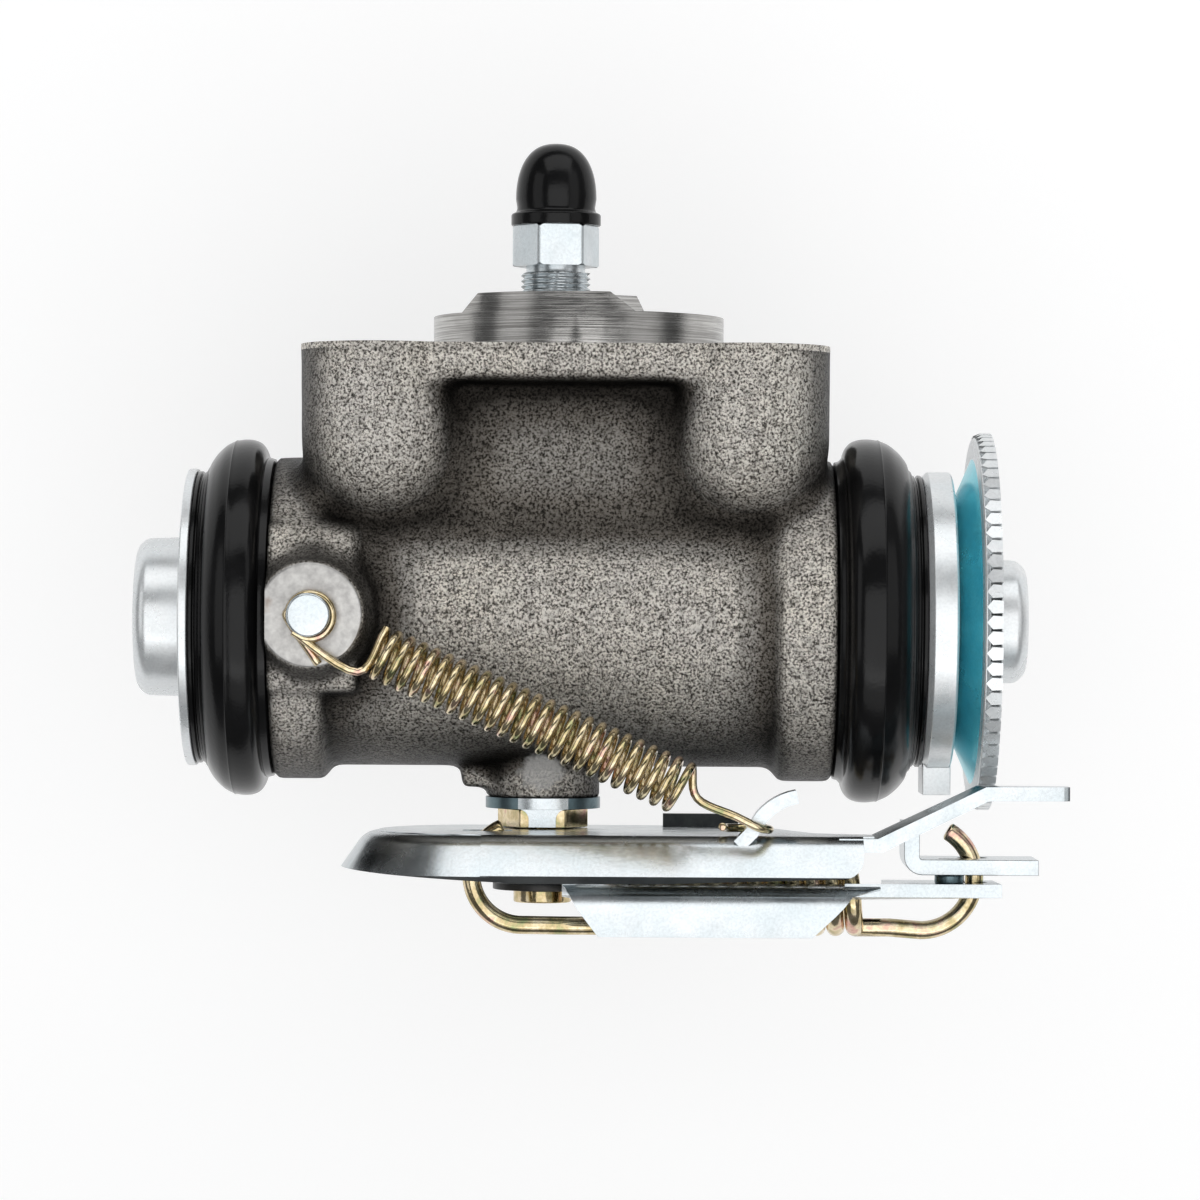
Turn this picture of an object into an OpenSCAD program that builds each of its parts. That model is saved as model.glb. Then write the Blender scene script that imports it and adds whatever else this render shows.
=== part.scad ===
// Drum brake wheel cylinder with a star wheel adjuster and its trip levers.
// The origin is the centre of the pilot on the mounting face. +Z leaves that face,
// +X points to the star wheel end and -Y is the side with the return spring.

/* [Cylinder] */
// Bore diameter
bore_d = 31.75; // [26:0.25:34]
// Outer radius of the barrel between its end collars
barrel_r = 21.3; // [19:0.1:22.5]
// Outer radius of the end collars
collar_r = 23.3; // [22.8:0.1:24]
// Distance from the pilot's centre to the left end face
body_left = 43.5; // [42:0.1:47]
// Distance from the pilot's centre to the right end face
body_right = 36.8; // [36:0.1:40]
// Distance of the bore axis under the mounting face
axis_drop = 39; // [37:0.5:42]
// Length of the left collar
collar_left_l = 7; // [4:0.5:9]
// Length of the right collar
collar_right_l = 7.5; // [4:0.5:9]
// Radius of the noses that carry the boots
nose_r = 20.2; // [19:0.1:20.6]
// Length of the noses
nose_l = 4.5; // [3:0.1:5]

/* [Mounting] */
// Radius of the pilot
pilot_r = 21; // [19:0.1:22]
// Height of the pilot
pilot_h = 4.6; // [3:0.1:6]
// Height of the port pad over the pilot
pad_h = 2.7; // [1:0.1:4]
// Thickness of the mounting flange
flange_t = 5.4; // [4:0.1:8]
// Rim of the flange in front of the pilot
flange_rim = 0.5; // [0.3:0.1:2]
// Half depth of the neck under the flange
neck_half = 16.5; // [14:0.5:18]
// Radius of a bolt lug
lug_r = 11.7; // [10:0.1:12.5]
// Depth of a lug's round bottom under the mounting face
lug_drop = 25.7; // [23:0.1:28]
// Bolt spacing along the bore
bolt_dx = 52; // [48:0.5:52]
// Bolt spacing across the bore
bolt_dy = 24; // [22:0.5:28]
// Offset of the bolt rectangle along the bore
bolt_shift = -1.8; // [-3:0.1:-1.8]
// Radius of a tapped bolt hole
bolt_tap_r = 4.25; // [3.4:0.05:5]
// Depth of a bolt hole
bolt_depth = 18; // [12:1:20]
// Radius of the tapped inlet port
inlet_tap_r = 4.5; // [4:0.05:5]
// Depth of the inlet port under the pad
inlet_depth = 10; // [8:0.5:14]
// Radius of the drilled fluid passages
passage_r = 1.5; // [1:0.1:2]

/* [Bleeder] */
// Thread radius of the bleed screw
bleed_r = 5; // [4:0.5:5]
// Across flats of its hex
bleed_hex_af = 11; // [10:0.5:12]
// Height of the hex
bleed_hex_h = 5.8; // [4:0.1:7]
// Length of thread that shows under the hex
bleed_gap = 4.4; // [2:0.1:6]
// Largest radius of the cap's dome
cap_r = 5.8; // [5.4:0.1:6.4]
// Height of the cap
cap_h = 12.2; // [11:0.1:14]
// Height of the cap's bottom lip
cap_lip_h = 2; // [1:0.1:3]

/* [Boots] */
// Rubber wall of a boot
boot_wall = 1.6; // [1.2:0.1:2]
// Length of the left boot
left_boot_l = 11.3; // [10.5:0.1:13]
// Largest radius of the left boot
left_boot_r = 25.75; // [25:0.05:27]
// Length of the right boot
right_boot_l = 12.8; // [12:0.1:14]
// Largest radius of the right boot
right_boot_r = 26.3; // [25.5:0.1:27]
// Radius of the boots' outer lips
boot_lip_r = 21.2; // [19:0.1:21.4]

/* [Pistons and tappets] */
// Length of a piston
piston_l = 22; // [18:0.5:24]
// Depth of a piston's outer face inside the bore
piston_set = 1; // [0.5:0.1:2]
// Radius of the stems inside the boots
stem_r = 13; // [12:0.1:14]
// Radius of the fixed tappet's disc
disc_r = 21.5; // [19:0.1:22]
// Thickness of that disc
disc_t = 1.3; // [1:0.1:2]
// Radius of the fixed tappet's head
left_head_r = 11.4; // [9:0.1:13]
// Length of the fixed tappet's head
left_head_l = 7.4; // [5:0.1:10]
// Radius of the adjuster collar's flange
guide_r = 21.6; // [19:0.1:22]
// Thickness of that flange
guide_t = 4.2; // [3:0.1:5]
// Reach of the collar's bottom lug from the bore axis
guide_lug_r = 25; // [23:0.1:25.2]
// Radius of the adjuster screw's head
right_head_r = 8.9; // [8:0.1:10]
// Length of the adjuster screw's head
right_head_l = 5; // [4:0.1:7]
// Thread radius of the adjuster screw
screw_r = 7; // [6:0.1:7.2]

/* [Star wheel] */
// Tip radius of the wheel
wheel_r = 27.3; // [26:0.1:27.6]
// Number of teeth
wheel_teeth = 78; // [48:1:80]
// Depth of a tooth
tooth_h = 1.4; // [0.8:0.1:1.8]
// Sheet of the wheel
wheel_t = 1.7; // [1.4:0.1:2]
// Smooth lead of the rim before its teeth
rim_lead = 0.8; // [0.4:0.1:1.2]
// Offset of the rim from the hub
wheel_dish = 3.7; // [3:0.1:4.2]
// Radius of the wheel's flat hub
wheel_hub_r = 17; // [14:0.5:18]

/* [Levers] */
// Sheet of the levers
sheet = 2; // [1.8:0.1:2.2]
// Pivot place along the bore
pivot_x = -4.8; // [-6:0.1:-4]
// Radius of the pivot boss
boss_r = 8.2; // [7.5:0.1:9]
// Distance of the pivot boss's face from the bore axis
boss_reach = 25.7; // [25:0.1:27]
// Lock plate thickness
lock_t = 1.6; // [1.2:0.1:2]
// Height of the stud's hex
stud_hex_h = 2.8; // [2.5:0.1:4]
// Across flats of the stud's hex
stud_hex_af = 11.4; // [10:0.1:12]
// Radius of the stud's pin
stud_r = 4.2; // [3.5:0.1:4.5]
// Length of the bush under the levers
bush_l = 3.6; // [3:0.1:4]
// Thickness of the retaining clip
clip_t = 1; // [0.8:0.1:1.4]

/* [Springs] */
// Wire of the return spring
return_wire = 1.2; // [1:0.1:1.3]
// Outside diameter of the return spring
return_od = 8; // [6.5:0.1:8.4]
// Coils of the return spring
return_turns = 24; // [18:1:25]
// Wire of the overload spring
overload_wire = 2.7; // [2.2:0.1:2.8]
// Coils of the overload spring
overload_turns = 13; // [8:1:13]
// Wire of the centre spring
centre_wire = 1.2; // [0.8:0.1:1.4]
// Coils of the centre spring
centre_turns = 6; // [4:1:8]

/* [Hidden] */
$fn = 96;
// Running clearance of turned pieces
run_fit = 0.03;
// Clearance between loose pieces
gap = 0.3;
// Clearance between plates that turn on the stud
plate_gap = 0.1;
// Size of blocks that only trim other shapes
trim = 80;

axis_z = -axis_drop;
end_l = -body_left;
end_r = body_right;
mid_x = (end_l + end_r) / 2;
bore_r = bore_d / 2;
piston_r = bore_r - run_fit;
piston_in_l = end_l + piston_set + piston_l;
piston_in_r = end_r - piston_set - piston_l;
spigot_r = 8;
spigot_l = 8;
centre_pilot_r = 4.4;
cup_l = 7;
cup_floor = 2.4;
groove_d = 0.8;
groove_u = 0.7;
groove_l = 1.2;

flange_half = pilot_r + flange_rim;
pad_z = pilot_h + pad_h;
pad_in = 0.6;
pad_left = -14.3;
pad_right = 8.3;
pad_slope = 2.4;
bleed_y = -5;
bleed_hex_z = pad_z + bleed_gap;
bleed_hex_top = bleed_hex_z + bleed_hex_h;
bleed_bottom = -4;
bleed_tip_l = 3;
bleed_hex_turn = 8.5;
nipple_r = 3.5;
cap_z = bleed_hex_top - 0.3;
cap_lip_r = cap_r + 0.7;
cap_floor = bleed_hex_top + 0.05;
inlet_x = 2;
inlet_y = 8.5;

// Places along the bore of the turned pieces outside the boots
disc_in = end_l - left_boot_l - plate_gap;
disc_out = disc_in - disc_t;
guide_in = end_r + right_boot_l + plate_gap;
guide_out = guide_in + guide_t;
wheel_in = guide_out + gap;
wheel_rim = wheel_in + wheel_dish;
wheel_out = wheel_rim + wheel_t;
head_in = wheel_out + gap;
nut_r = 10;
nut_in = guide_out - 13;

// Spring boss on the collar
spring_boss_x = end_l + 6.3;
spring_boss_z = axis_z + 0.5;
spring_boss_r = 7.4;
spring_boss_y = -collar_r - 3.7;
pin_r = 2.2;
pin_head_r = 3.05;
pin_head_y = spring_boss_y - 3.2;
pin_head_t = 1.2;
pin_depth = 6;

// Heights of the plates on the stud
boss_z = axis_z - boss_reach;
lock_z = boss_z - lock_t;
lever_top = lock_z - stud_hex_h - plate_gap;
lever_bot = lever_top - sheet;
eye_top = lever_bot - 2 * plate_gap;
eye_bot = eye_top - sheet;
bush_top = eye_bot - plate_gap;
clip_top = bush_top - bush_l;
clip_bot = clip_top - clip_t;
stud_end = clip_bot - 1.9;
stud_depth = 7;
clip_groove = 0.7;
clip_r = 7.2;

// Lever stop beside the pivot boss
stop_l = 3.6;
stop_half = 4;
stop_up = 1.4;

// Upper lever
front_y = -22.5;
front_bend = 55;
front_bend_r = 1.5;
front_leg = 4.9;
toe_r = 15;
toe_x = -13.2;
// Setback of the toe's round behind the straight flange, and of the arm's root in the plate
toe_back = 0.12;
lever_right = end_r + 3.6;
arm_top = lever_top + 7.1;
arm_start = end_r + 5.2;
arm_knee = wheel_in + 2.8;
arm_end = wheel_out + 9.9;
arm_rear = -sqrt(pow(wheel_r, 2) - pow(arm_top - axis_z, 2)) - 3.05;
arm_skew = 8;
tab_x = 22.2;
tab_rear = -21.2;
tab_w = 4;
lip_x = 12.7;
lip_y = 6;
lip_l = 11;
lip_h = 1.8;

// Lower lever
strip_top = clip_top + 0.9;
strip_bot = strip_top - sheet;
strip_rear = -17;
trip_front = -20;
trip_bend = 80;
trip_bend_r = 3;
trip_leg = 3.9;
trip_bottom = strip_top - 7.1;
trip_left = -1.8;
trip_right = end_r + 2.1;
tongue_front = -22;
tongue_rear = -5;
tongue_end = end_r + 23.2;
tongue_start = end_r + 7.2;

// Dog on the lower lever
dog_t = sheet + 0.2;
dog_bot = strip_top + 1.3;
dog_top = dog_bot + 7.4;
dog_x = end_r + 9.8;
dog_end = end_r + 28.9;
dog_front = -16.2;
rivet_x = end_r + 16.4;
rivet_y = -13.4;
rivet_r = 1.5;

// Overload spring: its coil lies along the bore axis under the upper lever
coil_y = -10;
coil_r = 4.85;
coil_z = lever_bot - 0.5 - coil_r - overload_wire / 2;
coil_left = 4.4;
coil_right = end_r + 3.2;
hook_l_x = -7.65;
hook_r_x = end_r + 12.6;
hook_l_r = 7.2;
hook_r_r = 7.6;
hook_z = coil_z + 2.4;
hook_hole_r = overload_wire / 2 + 0.8;
hook_hole_x = hook_r_x + hook_r_r - 0.3;
slot_left = hook_l_x - hook_l_r - 1.2;
slot_right = hook_l_x - 1.4;

// Return spring: from the pin on the boss to the tab on the upper lever
coil_plane = spring_boss_y - 1;
coil_a = [spring_boss_x + 9.4, coil_plane, axis_z - 4.5];
coil_b = [14.9, coil_plane, lever_top + 6.9];
pin_at = [spring_boss_x, spring_boss_y, spring_boss_z];

// Points of an arc in the plane
function arc(centre, r, from, to, steps) = [for (i = [0:steps])
    let (g = from + (to - from) * i / steps) centre + r * [cos(g), sin(g)]];

// Unit vector
function unit(v) = v / norm(v);

// Left normal of a path in the plane at one of its points
function path_normal(path, i) =
    let (a = path[max(i - 1, 0)], b = path[min(i + 1, len(path) - 1)], d = unit(b - a)) [-d[1], d[0]];

// Outline of a strip of the given thickness, to the right of a path in the plane
function ribbon(path, t) = concat(path,
    [for (i = [len(path) - 1:-1:0]) path[i] - t * path_normal(path, i)]);

// Section of a sheet's bend and leg: starts at the plate's edge and turns down
function bend_section(t, r, angle, leg) = let (
    steps = 6,
    inside = 1,
    g = 90 - angle,
    run = leg * [sin(g), -cos(g)])
    concat([[-inside, r + t]], arc([0, 0], r + t, 90, g, steps), [(r + t) * [cos(g), sin(g)] + run],
        [r * [cos(g), sin(g)] + run], arc([0, 0], r, g, 90, steps), [[-inside, r]]);

// Tangents of a path in space
function tangents(path) = [for (i = [0:len(path) - 1])
    unit(path[min(i + 1, len(path) - 1)] - path[max(i - 1, 0)])];

// Normals carried along a path without twist
function carried(t, first) = [for (i = 0, n = unit(first - (first * t[0]) * t[0]); i < len(t);
    n = unit(n - (n * t[min(i + 1, len(t) - 1)]) * t[min(i + 1, len(t) - 1)]), i = i + 1) n];

// Round wire along a path in space
module wire(path, r, first, sides = 8) {
    t = tangents(path);
    n = carried(t, first);
    rings = len(path);
    points = [for (i = [0:rings - 1]) for (k = [0:sides - 1])
        let (g = 360 * k / sides, b = cross(t[i], n[i])) path[i] + r * (cos(g) * n[i] + sin(g) * b)];
    walls = [for (i = [0:rings - 2]) for (k = [0:sides - 1])
        let (a = i * sides + k, b = i * sides + (k + 1) % sides) [a, a + sides, b + sides, b]];
    caps = [[for (k = [0:sides - 1]) k], [for (k = [sides - 1:-1:0]) (rings - 1) * sides + k]];
    polyhedron(points = points, faces = concat(walls, caps), convexity = 10);
}

// Turns a profile of radius and distance, counted outwards from a place on the bore axis
module turned(x, dir, profile) {
    translate([x, 0, axis_z]) rotate([0, 90 * dir, 0]) rotate_extrude() polygon(profile);
}

// Plain cylinder on the bore axis between two places
module rod(x0, x1, r) {
    translate([x0, 0, axis_z]) rotate([0, 90, 0]) cylinder(h = x1 - x0, r = r);
}

module hex(af, h) {
    cylinder(h = h, r = af / sqrt(3), $fn = 6);
}

// Extrudes an outline of X and Z between two depths
module across(y0, y1) {
    translate([0, y1, 0]) rotate([90, 0, 0]) linear_extrude(y1 - y0) children();
}

module at_bolts() {
    for (x = [-1, 1], y = [-1, 1]) translate([bolt_shift + x * bolt_dx / 2, y * bolt_dy / 2, 0]) children();
}

// Barrel with its collars and boot noses
module barrel() {
    chamfer = 0.6;
    rod(end_l, end_r, barrel_r);
    turned(end_l, 1, [[0, 0], [collar_r - chamfer, 0], [collar_r, chamfer], [collar_r, collar_left_l],
        [barrel_r - 1, collar_left_l + 2.4], [0, collar_left_l + 2.4]]);
    turned(end_r, -1, [[0, 0], [collar_r - chamfer, 0], [collar_r, chamfer], [collar_r, collar_right_l],
        [barrel_r - 1, collar_right_l + 2.4], [0, collar_right_l + 2.4]]);
    for (side = [[end_l, -1], [end_r, 1]]) turned(side[0], side[1], [[0, -1], [nose_r, -1],
        [nose_r, groove_u], [nose_r - groove_d, groove_u], [nose_r - groove_d, groove_u + groove_l],
        [nose_r, groove_u + groove_l], [nose_r, nose_l - 0.5], [nose_r - 0.5, nose_l], [0, nose_l]]);
}

// Flange, neck, lugs and pilot
module upper_casting() {
    lug_left = bolt_shift - bolt_dx / 2;
    translate([lug_left, -flange_half, -flange_t]) cube([bolt_dx, 2 * flange_half, flange_t]);
    translate([lug_left, -neck_half, axis_z]) cube([bolt_dx, 2 * neck_half, axis_drop - 1]);
    at_bolts() {
        translate([0, 0, lug_r - lug_drop]) cylinder(h = lug_drop - lug_r, r = lug_r);
        translate([0, 0, lug_r - lug_drop]) sphere(r = lug_r);
    }
    translate([0, 0, -1]) cylinder(h = pilot_h + 1, r = pilot_r);
    intersection() {
        translate([0, 0, -0.5]) cylinder(h = pad_z + 0.5, r = pilot_r - pad_in);
        across(-pilot_r, pilot_r) polygon([[pad_left - pad_slope, pilot_h - 1],
            [pad_left - pad_slope, pilot_h],
            [pad_left, pad_z], [pad_right, pad_z], [pad_right + pad_slope / 2, pilot_h],
            [pad_right + pad_slope / 2, pilot_h - 1]]);
    }
}

// Pads on the barrel: the spring boss, the pivot boss and the lever stop
module bosses() {
    intersection() {
        union() {
            translate([spring_boss_x, -collar_r + 5, spring_boss_z]) rotate([90, 0, 0])
                cylinder(h = -spring_boss_y - collar_r + 5, r1 = spring_boss_r + 3.4, r2 = spring_boss_r);
            intersection() {
                rod(end_l, spring_boss_x + spring_boss_r - 1, collar_r + 0.6);
                translate([end_l, -collar_r - 2, spring_boss_z - 11]) cube([2 * spring_boss_r, collar_r, 24]);
            }
        }
        translate([end_l, -trim / 2, axis_z - trim / 2]) cube(trim);
    }
    translate([pivot_x, 0, boss_z]) cylinder(h = boss_reach, r = boss_r);
    translate([pivot_x - boss_r - stop_l, -stop_half, boss_z + stop_up])
        cube([boss_r + stop_l, 2 * stop_half, boss_reach - 2]);
}

// Fluid passages, ports and threaded holes
module drillings() {
    rod(end_l - nose_l - 1, end_r + nose_l + 1, bore_r);
    at_bolts() translate([0, 0, -bolt_depth]) cylinder(h = bolt_depth + 1, r = bolt_tap_r);
    translate([mid_x, bleed_y, bleed_bottom]) cylinder(h = pad_z - bleed_bottom + 1, r = bleed_r + run_fit);
    translate([mid_x, bleed_y, bleed_bottom - bleed_tip_l - 0.5])
        cylinder(h = bleed_tip_l + 0.5, r1 = passage_r, r2 = bleed_r + run_fit);
    translate([mid_x, bleed_y, axis_z]) cylinder(h = axis_drop, r = passage_r);
    translate([inlet_x, inlet_y, pad_z - inlet_depth]) cylinder(h = inlet_depth + 1, r = inlet_tap_r);
    translate([inlet_x, inlet_y, axis_z]) cylinder(h = axis_drop, r = passage_r);
    translate([pivot_x, 0, boss_z - 1]) cylinder(h = stud_depth + 2, r = stud_r);
    translate([spring_boss_x, spring_boss_y + pin_depth, spring_boss_z]) rotate([90, 0, 0])
        cylinder(h = pin_depth + 2, r = pin_r);
    // Milled scallop on the right of the port pad
    translate([pad_right + 2.6, 4.5 - pilot_r, pilot_h]) cylinder(h = 4, r1 = 3.6, r2 = 9);
}

module cast_body() {
    color([0.27, 0.25, 0.24]) difference() {
        union() {
            barrel();
            upper_casting();
            bosses();
        }
        drillings();
    }
}

module bleed_screw() {
    color([0.78, 0.8, 0.82]) translate([mid_x, bleed_y, 0]) difference() {
        union() {
            translate([0, 0, bleed_bottom]) cylinder(h = bleed_hex_z - bleed_bottom, r = bleed_r);
            translate([0, 0, bleed_bottom - bleed_tip_l])
                cylinder(h = bleed_tip_l, r1 = passage_r + 0.3, r2 = bleed_r - 0.2);
            translate([0, 0, bleed_hex_z]) rotate([0, 0, bleed_hex_turn]) hex(bleed_hex_af, bleed_hex_h);
            translate([0, 0, bleed_hex_top]) cylinder(h = cap_h - 4.4, r = nipple_r - 0.5);
            translate([0, 0, bleed_hex_top + 3.2]) cylinder(h = 3, r1 = nipple_r, r2 = nipple_r - 0.8);
        }
        translate([0, 0, bleed_bottom]) cylinder(h = bleed_hex_top + cap_h, r = 1);
    }
}

// Dome outline of the cap: radius over height
function cap_outline(h, r) = [for (i = [0:12]) let (g = 90 * i / 12) [r * cos(g), h * sin(g)]];

module cap_body(r, lip, z0, h) {
    shoulder = 4.2;
    translate([mid_x, bleed_y, z0]) rotate_extrude() polygon(concat([[0, 0], [lip, 0], [lip, cap_lip_h - 0.3],
        [lip - 0.3, cap_lip_h], [r - 0.3, cap_lip_h]],
        [for (p = cap_outline(h - shoulder, r)) [p[0], p[1] + shoulder]]));
}

module cap_hollow() {
    hollow_r = nipple_r + 0.15;
    translate([mid_x, bleed_y, cap_floor - 1]) cylinder(h = cap_h - 2.2, r = hollow_r);
    translate([mid_x, bleed_y, cap_z - 1]) cylinder(h = cap_floor - cap_z + 1, r = cap_lip_r + 1);
}

module bleed_cap() {
    color([0.05, 0.05, 0.05]) difference() {
        cap_body(cap_r, cap_lip_r, cap_z, cap_h);
        cap_hollow();
    }
}

// Rubber boot: a neck on the nose, a round bulge and a lip on the stem
module boot(x, dir, l, r) {
    lip_l = 1.9;
    neck_l = 1.4;
    bulge = (l - lip_l + 0.3 - neck_l) / 2;
    centre = [r - bulge, neck_l + bulge];
    translate([x, 0, axis_z]) rotate([0, 90 * dir, 0]) rotate_extrude() union() {
        difference() {
            union() {
                translate(centre) circle(r = bulge);
                translate([nose_r - 2, 0]) square([collar_r - 0.2 - nose_r + 2, neck_l + 1]);
            }
            translate(centre) circle(r = bulge - boot_wall);
            translate([0, -1]) square([nose_r, nose_l + 2]);
            translate([0, -1]) square([boot_lip_r - 1.6, l - lip_l + 1]);
            translate([nose_r - 1, nose_l - 0.6]) square([1 + bulge, bulge - 1]);
        }
        translate([nose_r - groove_d + run_fit, groove_u + run_fit])
            square([groove_d + 0.5, groove_l - 2 * run_fit]);
        translate([stem_r + run_fit, l - lip_l]) square([boot_lip_r - stem_r, 0.8]);
        translate([stem_r + run_fit, l - lip_l + 0.7]) square([boot_lip_r - stem_r - 0.7, 0.5]);
        translate([stem_r + run_fit, l - lip_l + 1.1]) square([boot_lip_r - stem_r, lip_l - 1.1]);
    }
}

module left_boot() {
    color([0.06, 0.06, 0.06]) boot(end_l, -1, left_boot_l, left_boot_r);
}

module right_boot() {
    color([0.06, 0.06, 0.06]) boot(end_r, 1, right_boot_l, right_boot_r);
}

module left_piston() {
    color([0.7, 0.71, 0.73]) difference() {
        rod(piston_in_l - piston_l, piston_in_l, piston_r);
        rod(piston_in_l - piston_l - 1, piston_in_l - piston_l + spigot_l, spigot_r);
    }
}

module right_piston() {
    color([0.7, 0.71, 0.73]) difference() {
        rod(piston_in_r, piston_in_r + piston_l, piston_r);
        rod(piston_in_r + 4, piston_in_r + piston_l + 1, spigot_r);
    }
}

// Rubber cup against a piston's inner face, its lip towards the middle
module cup(x, dir) {
    turned(x, dir, [[0, 0], [piston_r, 0], [piston_r, cup_l - 0.2], [piston_r - 1.6, cup_l],
        [piston_r - 2.8, cup_floor], [0, cup_floor]]);
}

module left_cup() {
    color([0.08, 0.08, 0.08]) cup(piston_in_l, 1);
}

module right_cup() {
    color([0.08, 0.08, 0.08]) cup(piston_in_r, -1);
}

// Pressed metal spreader in a cup, with a pilot for the centre spring
module spreader(x, dir) {
    turned(x + dir * cup_floor, dir, [[0, 0], [piston_r - 3.4, 0], [piston_r - 3, 1.4], [piston_r - 4.2, 1.4],
        [centre_pilot_r, 1.2], [centre_pilot_r, 3], [0, 3]]);
}

module left_spreader() {
    color([0.75, 0.76, 0.78]) spreader(piston_in_l, 1);
}

module right_spreader() {
    color([0.75, 0.76, 0.78]) spreader(piston_in_r, -1);
}

module centre_spring() {
    seat = cup_floor + 1.4 + centre_wire / 2;
    x0 = piston_in_l + seat;
    x1 = piston_in_r - seat;
    r = centre_pilot_r + centre_wire / 2 + 0.15;
    steps = centre_turns * 16;
    path = [for (i = [0:steps]) let (g = 360 * i / 16)
        [x0 + (x1 - x0) * i / steps, r * cos(g), axis_z + r * sin(g)]];
    color([0.75, 0.75, 0.72]) wire(path, centre_wire / 2, [0, 1, 0]);
}

module fixed_tappet() {
    edge = 1.3;
    color([0.8, 0.82, 0.85]) {
        turned(disc_out, -1, [[0, 0], [left_head_r, 0], [left_head_r, left_head_l - edge],
            [left_head_r - edge * 0.3, left_head_l - edge * 0.3], [left_head_r - edge, left_head_l],
            [0, left_head_l]]);
        rod(disc_out, disc_in, disc_r);
        rod(disc_in, piston_in_l - piston_l, stem_r);
        rod(disc_in, piston_in_l - piston_l + spigot_l - 0.2, spigot_r);
    }
}

// Flanged collar behind the wheel: a small flare at the boot's lip and a lug at the bottom
module adjuster_collar() {
    flare = 0.8;
    edge = 0.3;
    lug_half = 5;
    color([0.8, 0.82, 0.85]) difference() {
        union() {
            turned(guide_in, 1, [[0, 0], [guide_r - flare, 0], [guide_r, flare], [guide_r, guide_t - edge],
                [guide_r - edge, guide_t], [0, guide_t]]);
            translate([guide_in + 0.2, -lug_half, axis_z - guide_lug_r])
                cube([guide_t - 0.2, 2 * lug_half, guide_lug_r - stem_r]);
            rod(piston_in_r + piston_l, guide_in + 1, stem_r);
        }
        rod(piston_in_r, guide_out + 1, nut_r + run_fit);
    }
}

module adjuster_nut() {
    color([0.72, 0.74, 0.76]) difference() {
        rod(nut_in, wheel_out, nut_r);
        rod(nut_in - 1, wheel_out + 1, screw_r + run_fit);
    }
}

// Toothed outline of the wheel: each tooth has a steep and a long flank
function teeth_outline() = let (steps = [0, 0.16, 0.5, 0.66], low = wheel_r - tooth_h)
    [for (i = [0:wheel_teeth - 1], k = [0:3]) let (g = 360 * (i + steps[k]) / wheel_teeth)
        (k == 1 || k == 2 ? wheel_r : low) * [cos(g), sin(g)]];

module star_wheel() {
    rim_in = wheel_r - tooth_h - 2.4;
    lead_r = wheel_r - 0.15;
    lead_out = rim_lead + 0.3;
    color([0.62, 0.72, 0.76]) {
        translate([wheel_rim, 0, axis_z]) rotate([0, 90, 0]) linear_extrude(wheel_t) difference() {
            polygon(teeth_outline());
            circle(r = rim_in);
        }
        turned(wheel_rim - rim_lead, 1, [[rim_in, 0], [lead_r, 0], [lead_r, lead_out], [rim_in, lead_out]]);
        turned(wheel_in, 1, [[nut_r, 0], [wheel_hub_r, 0], [rim_in + 0.2, wheel_dish],
            [rim_in + 0.2, wheel_dish + wheel_t], [wheel_hub_r - 1, wheel_t], [nut_r, wheel_t]]);
    }
}

module adjuster_screw() {
    edge = 1.4;
    color([0.8, 0.82, 0.85]) {
        turned(head_in, 1, [[0, 0], [right_head_r, 0], [right_head_r, right_head_l - edge],
            [right_head_r - edge * 0.3, right_head_l - edge * 0.3], [right_head_r - edge, right_head_l],
            [0, right_head_l]]);
        rod(piston_in_r + piston_l - 6, head_in, screw_r);
    }
}

module anchor_pin() {
    color([0.85, 0.85, 0.84]) translate([spring_boss_x, spring_boss_y, spring_boss_z]) rotate([90, 0, 0]) {
        translate([0, 0, -pin_depth]) cylinder(h = pin_depth + spring_boss_y - pin_head_y, r = pin_r);
        translate([0, 0, spring_boss_y - pin_head_y]) cylinder(h = pin_head_t, r = pin_head_r);
    }
}

// Return spring: a loop on the pin, the coils and a hook round the lever's tab
function return_coil() = let (
    d = unit(coil_b - coil_a),
    side = [0, 1, 0],
    up = cross(side, d),
    r = (return_od - return_wire) / 2,
    per_turn = 12,
    steps = return_turns * per_turn)
    [for (i = [0:steps]) let (g = 360 * i / per_turn - 90)
        coil_a + (coil_b - coil_a) * i / steps + r * (cos(g) * side + sin(g) * up)];

function return_loop() = let (r = pin_r + return_wire / 2 + 0.3, c = pin_at + [0.2, 0, -0.2])
    [for (i = [0:14]) let (g = -130 + 320 * (14 - i) / 14)
        [c[0] + r * cos(g), spring_boss_y - 0.8 - 1.5 * i / 14, c[2] + r * sin(g)]];

function return_path() = concat(
    [pin_at + [1.4, -0.8, -6.9]],
    return_loop(),
    [coil_a + [-2.6, 0.2, -2.9]],
    return_coil(),
    [coil_b + [2.1, -0.4, -1.4]],
    [for (q = [[0.1, -6.6, 3], [3.2, -6.2, 1.5], [4.6, -4.6, 1.1], [5.1, -2, 1], [4.7, 0.6, 1], [2.8, 2, 1],
        [0.4, 1.8, 1], [-1.2, -0.2, 1.1], [-1.6, -3.4, 1.4]]) [tab_x, tab_rear, lever_top] + q]);

module return_spring() {
    color([0.8, 0.68, 0.42]) wire(return_path(), return_wire / 2, [0, 1, 0], 7);
}

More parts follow.
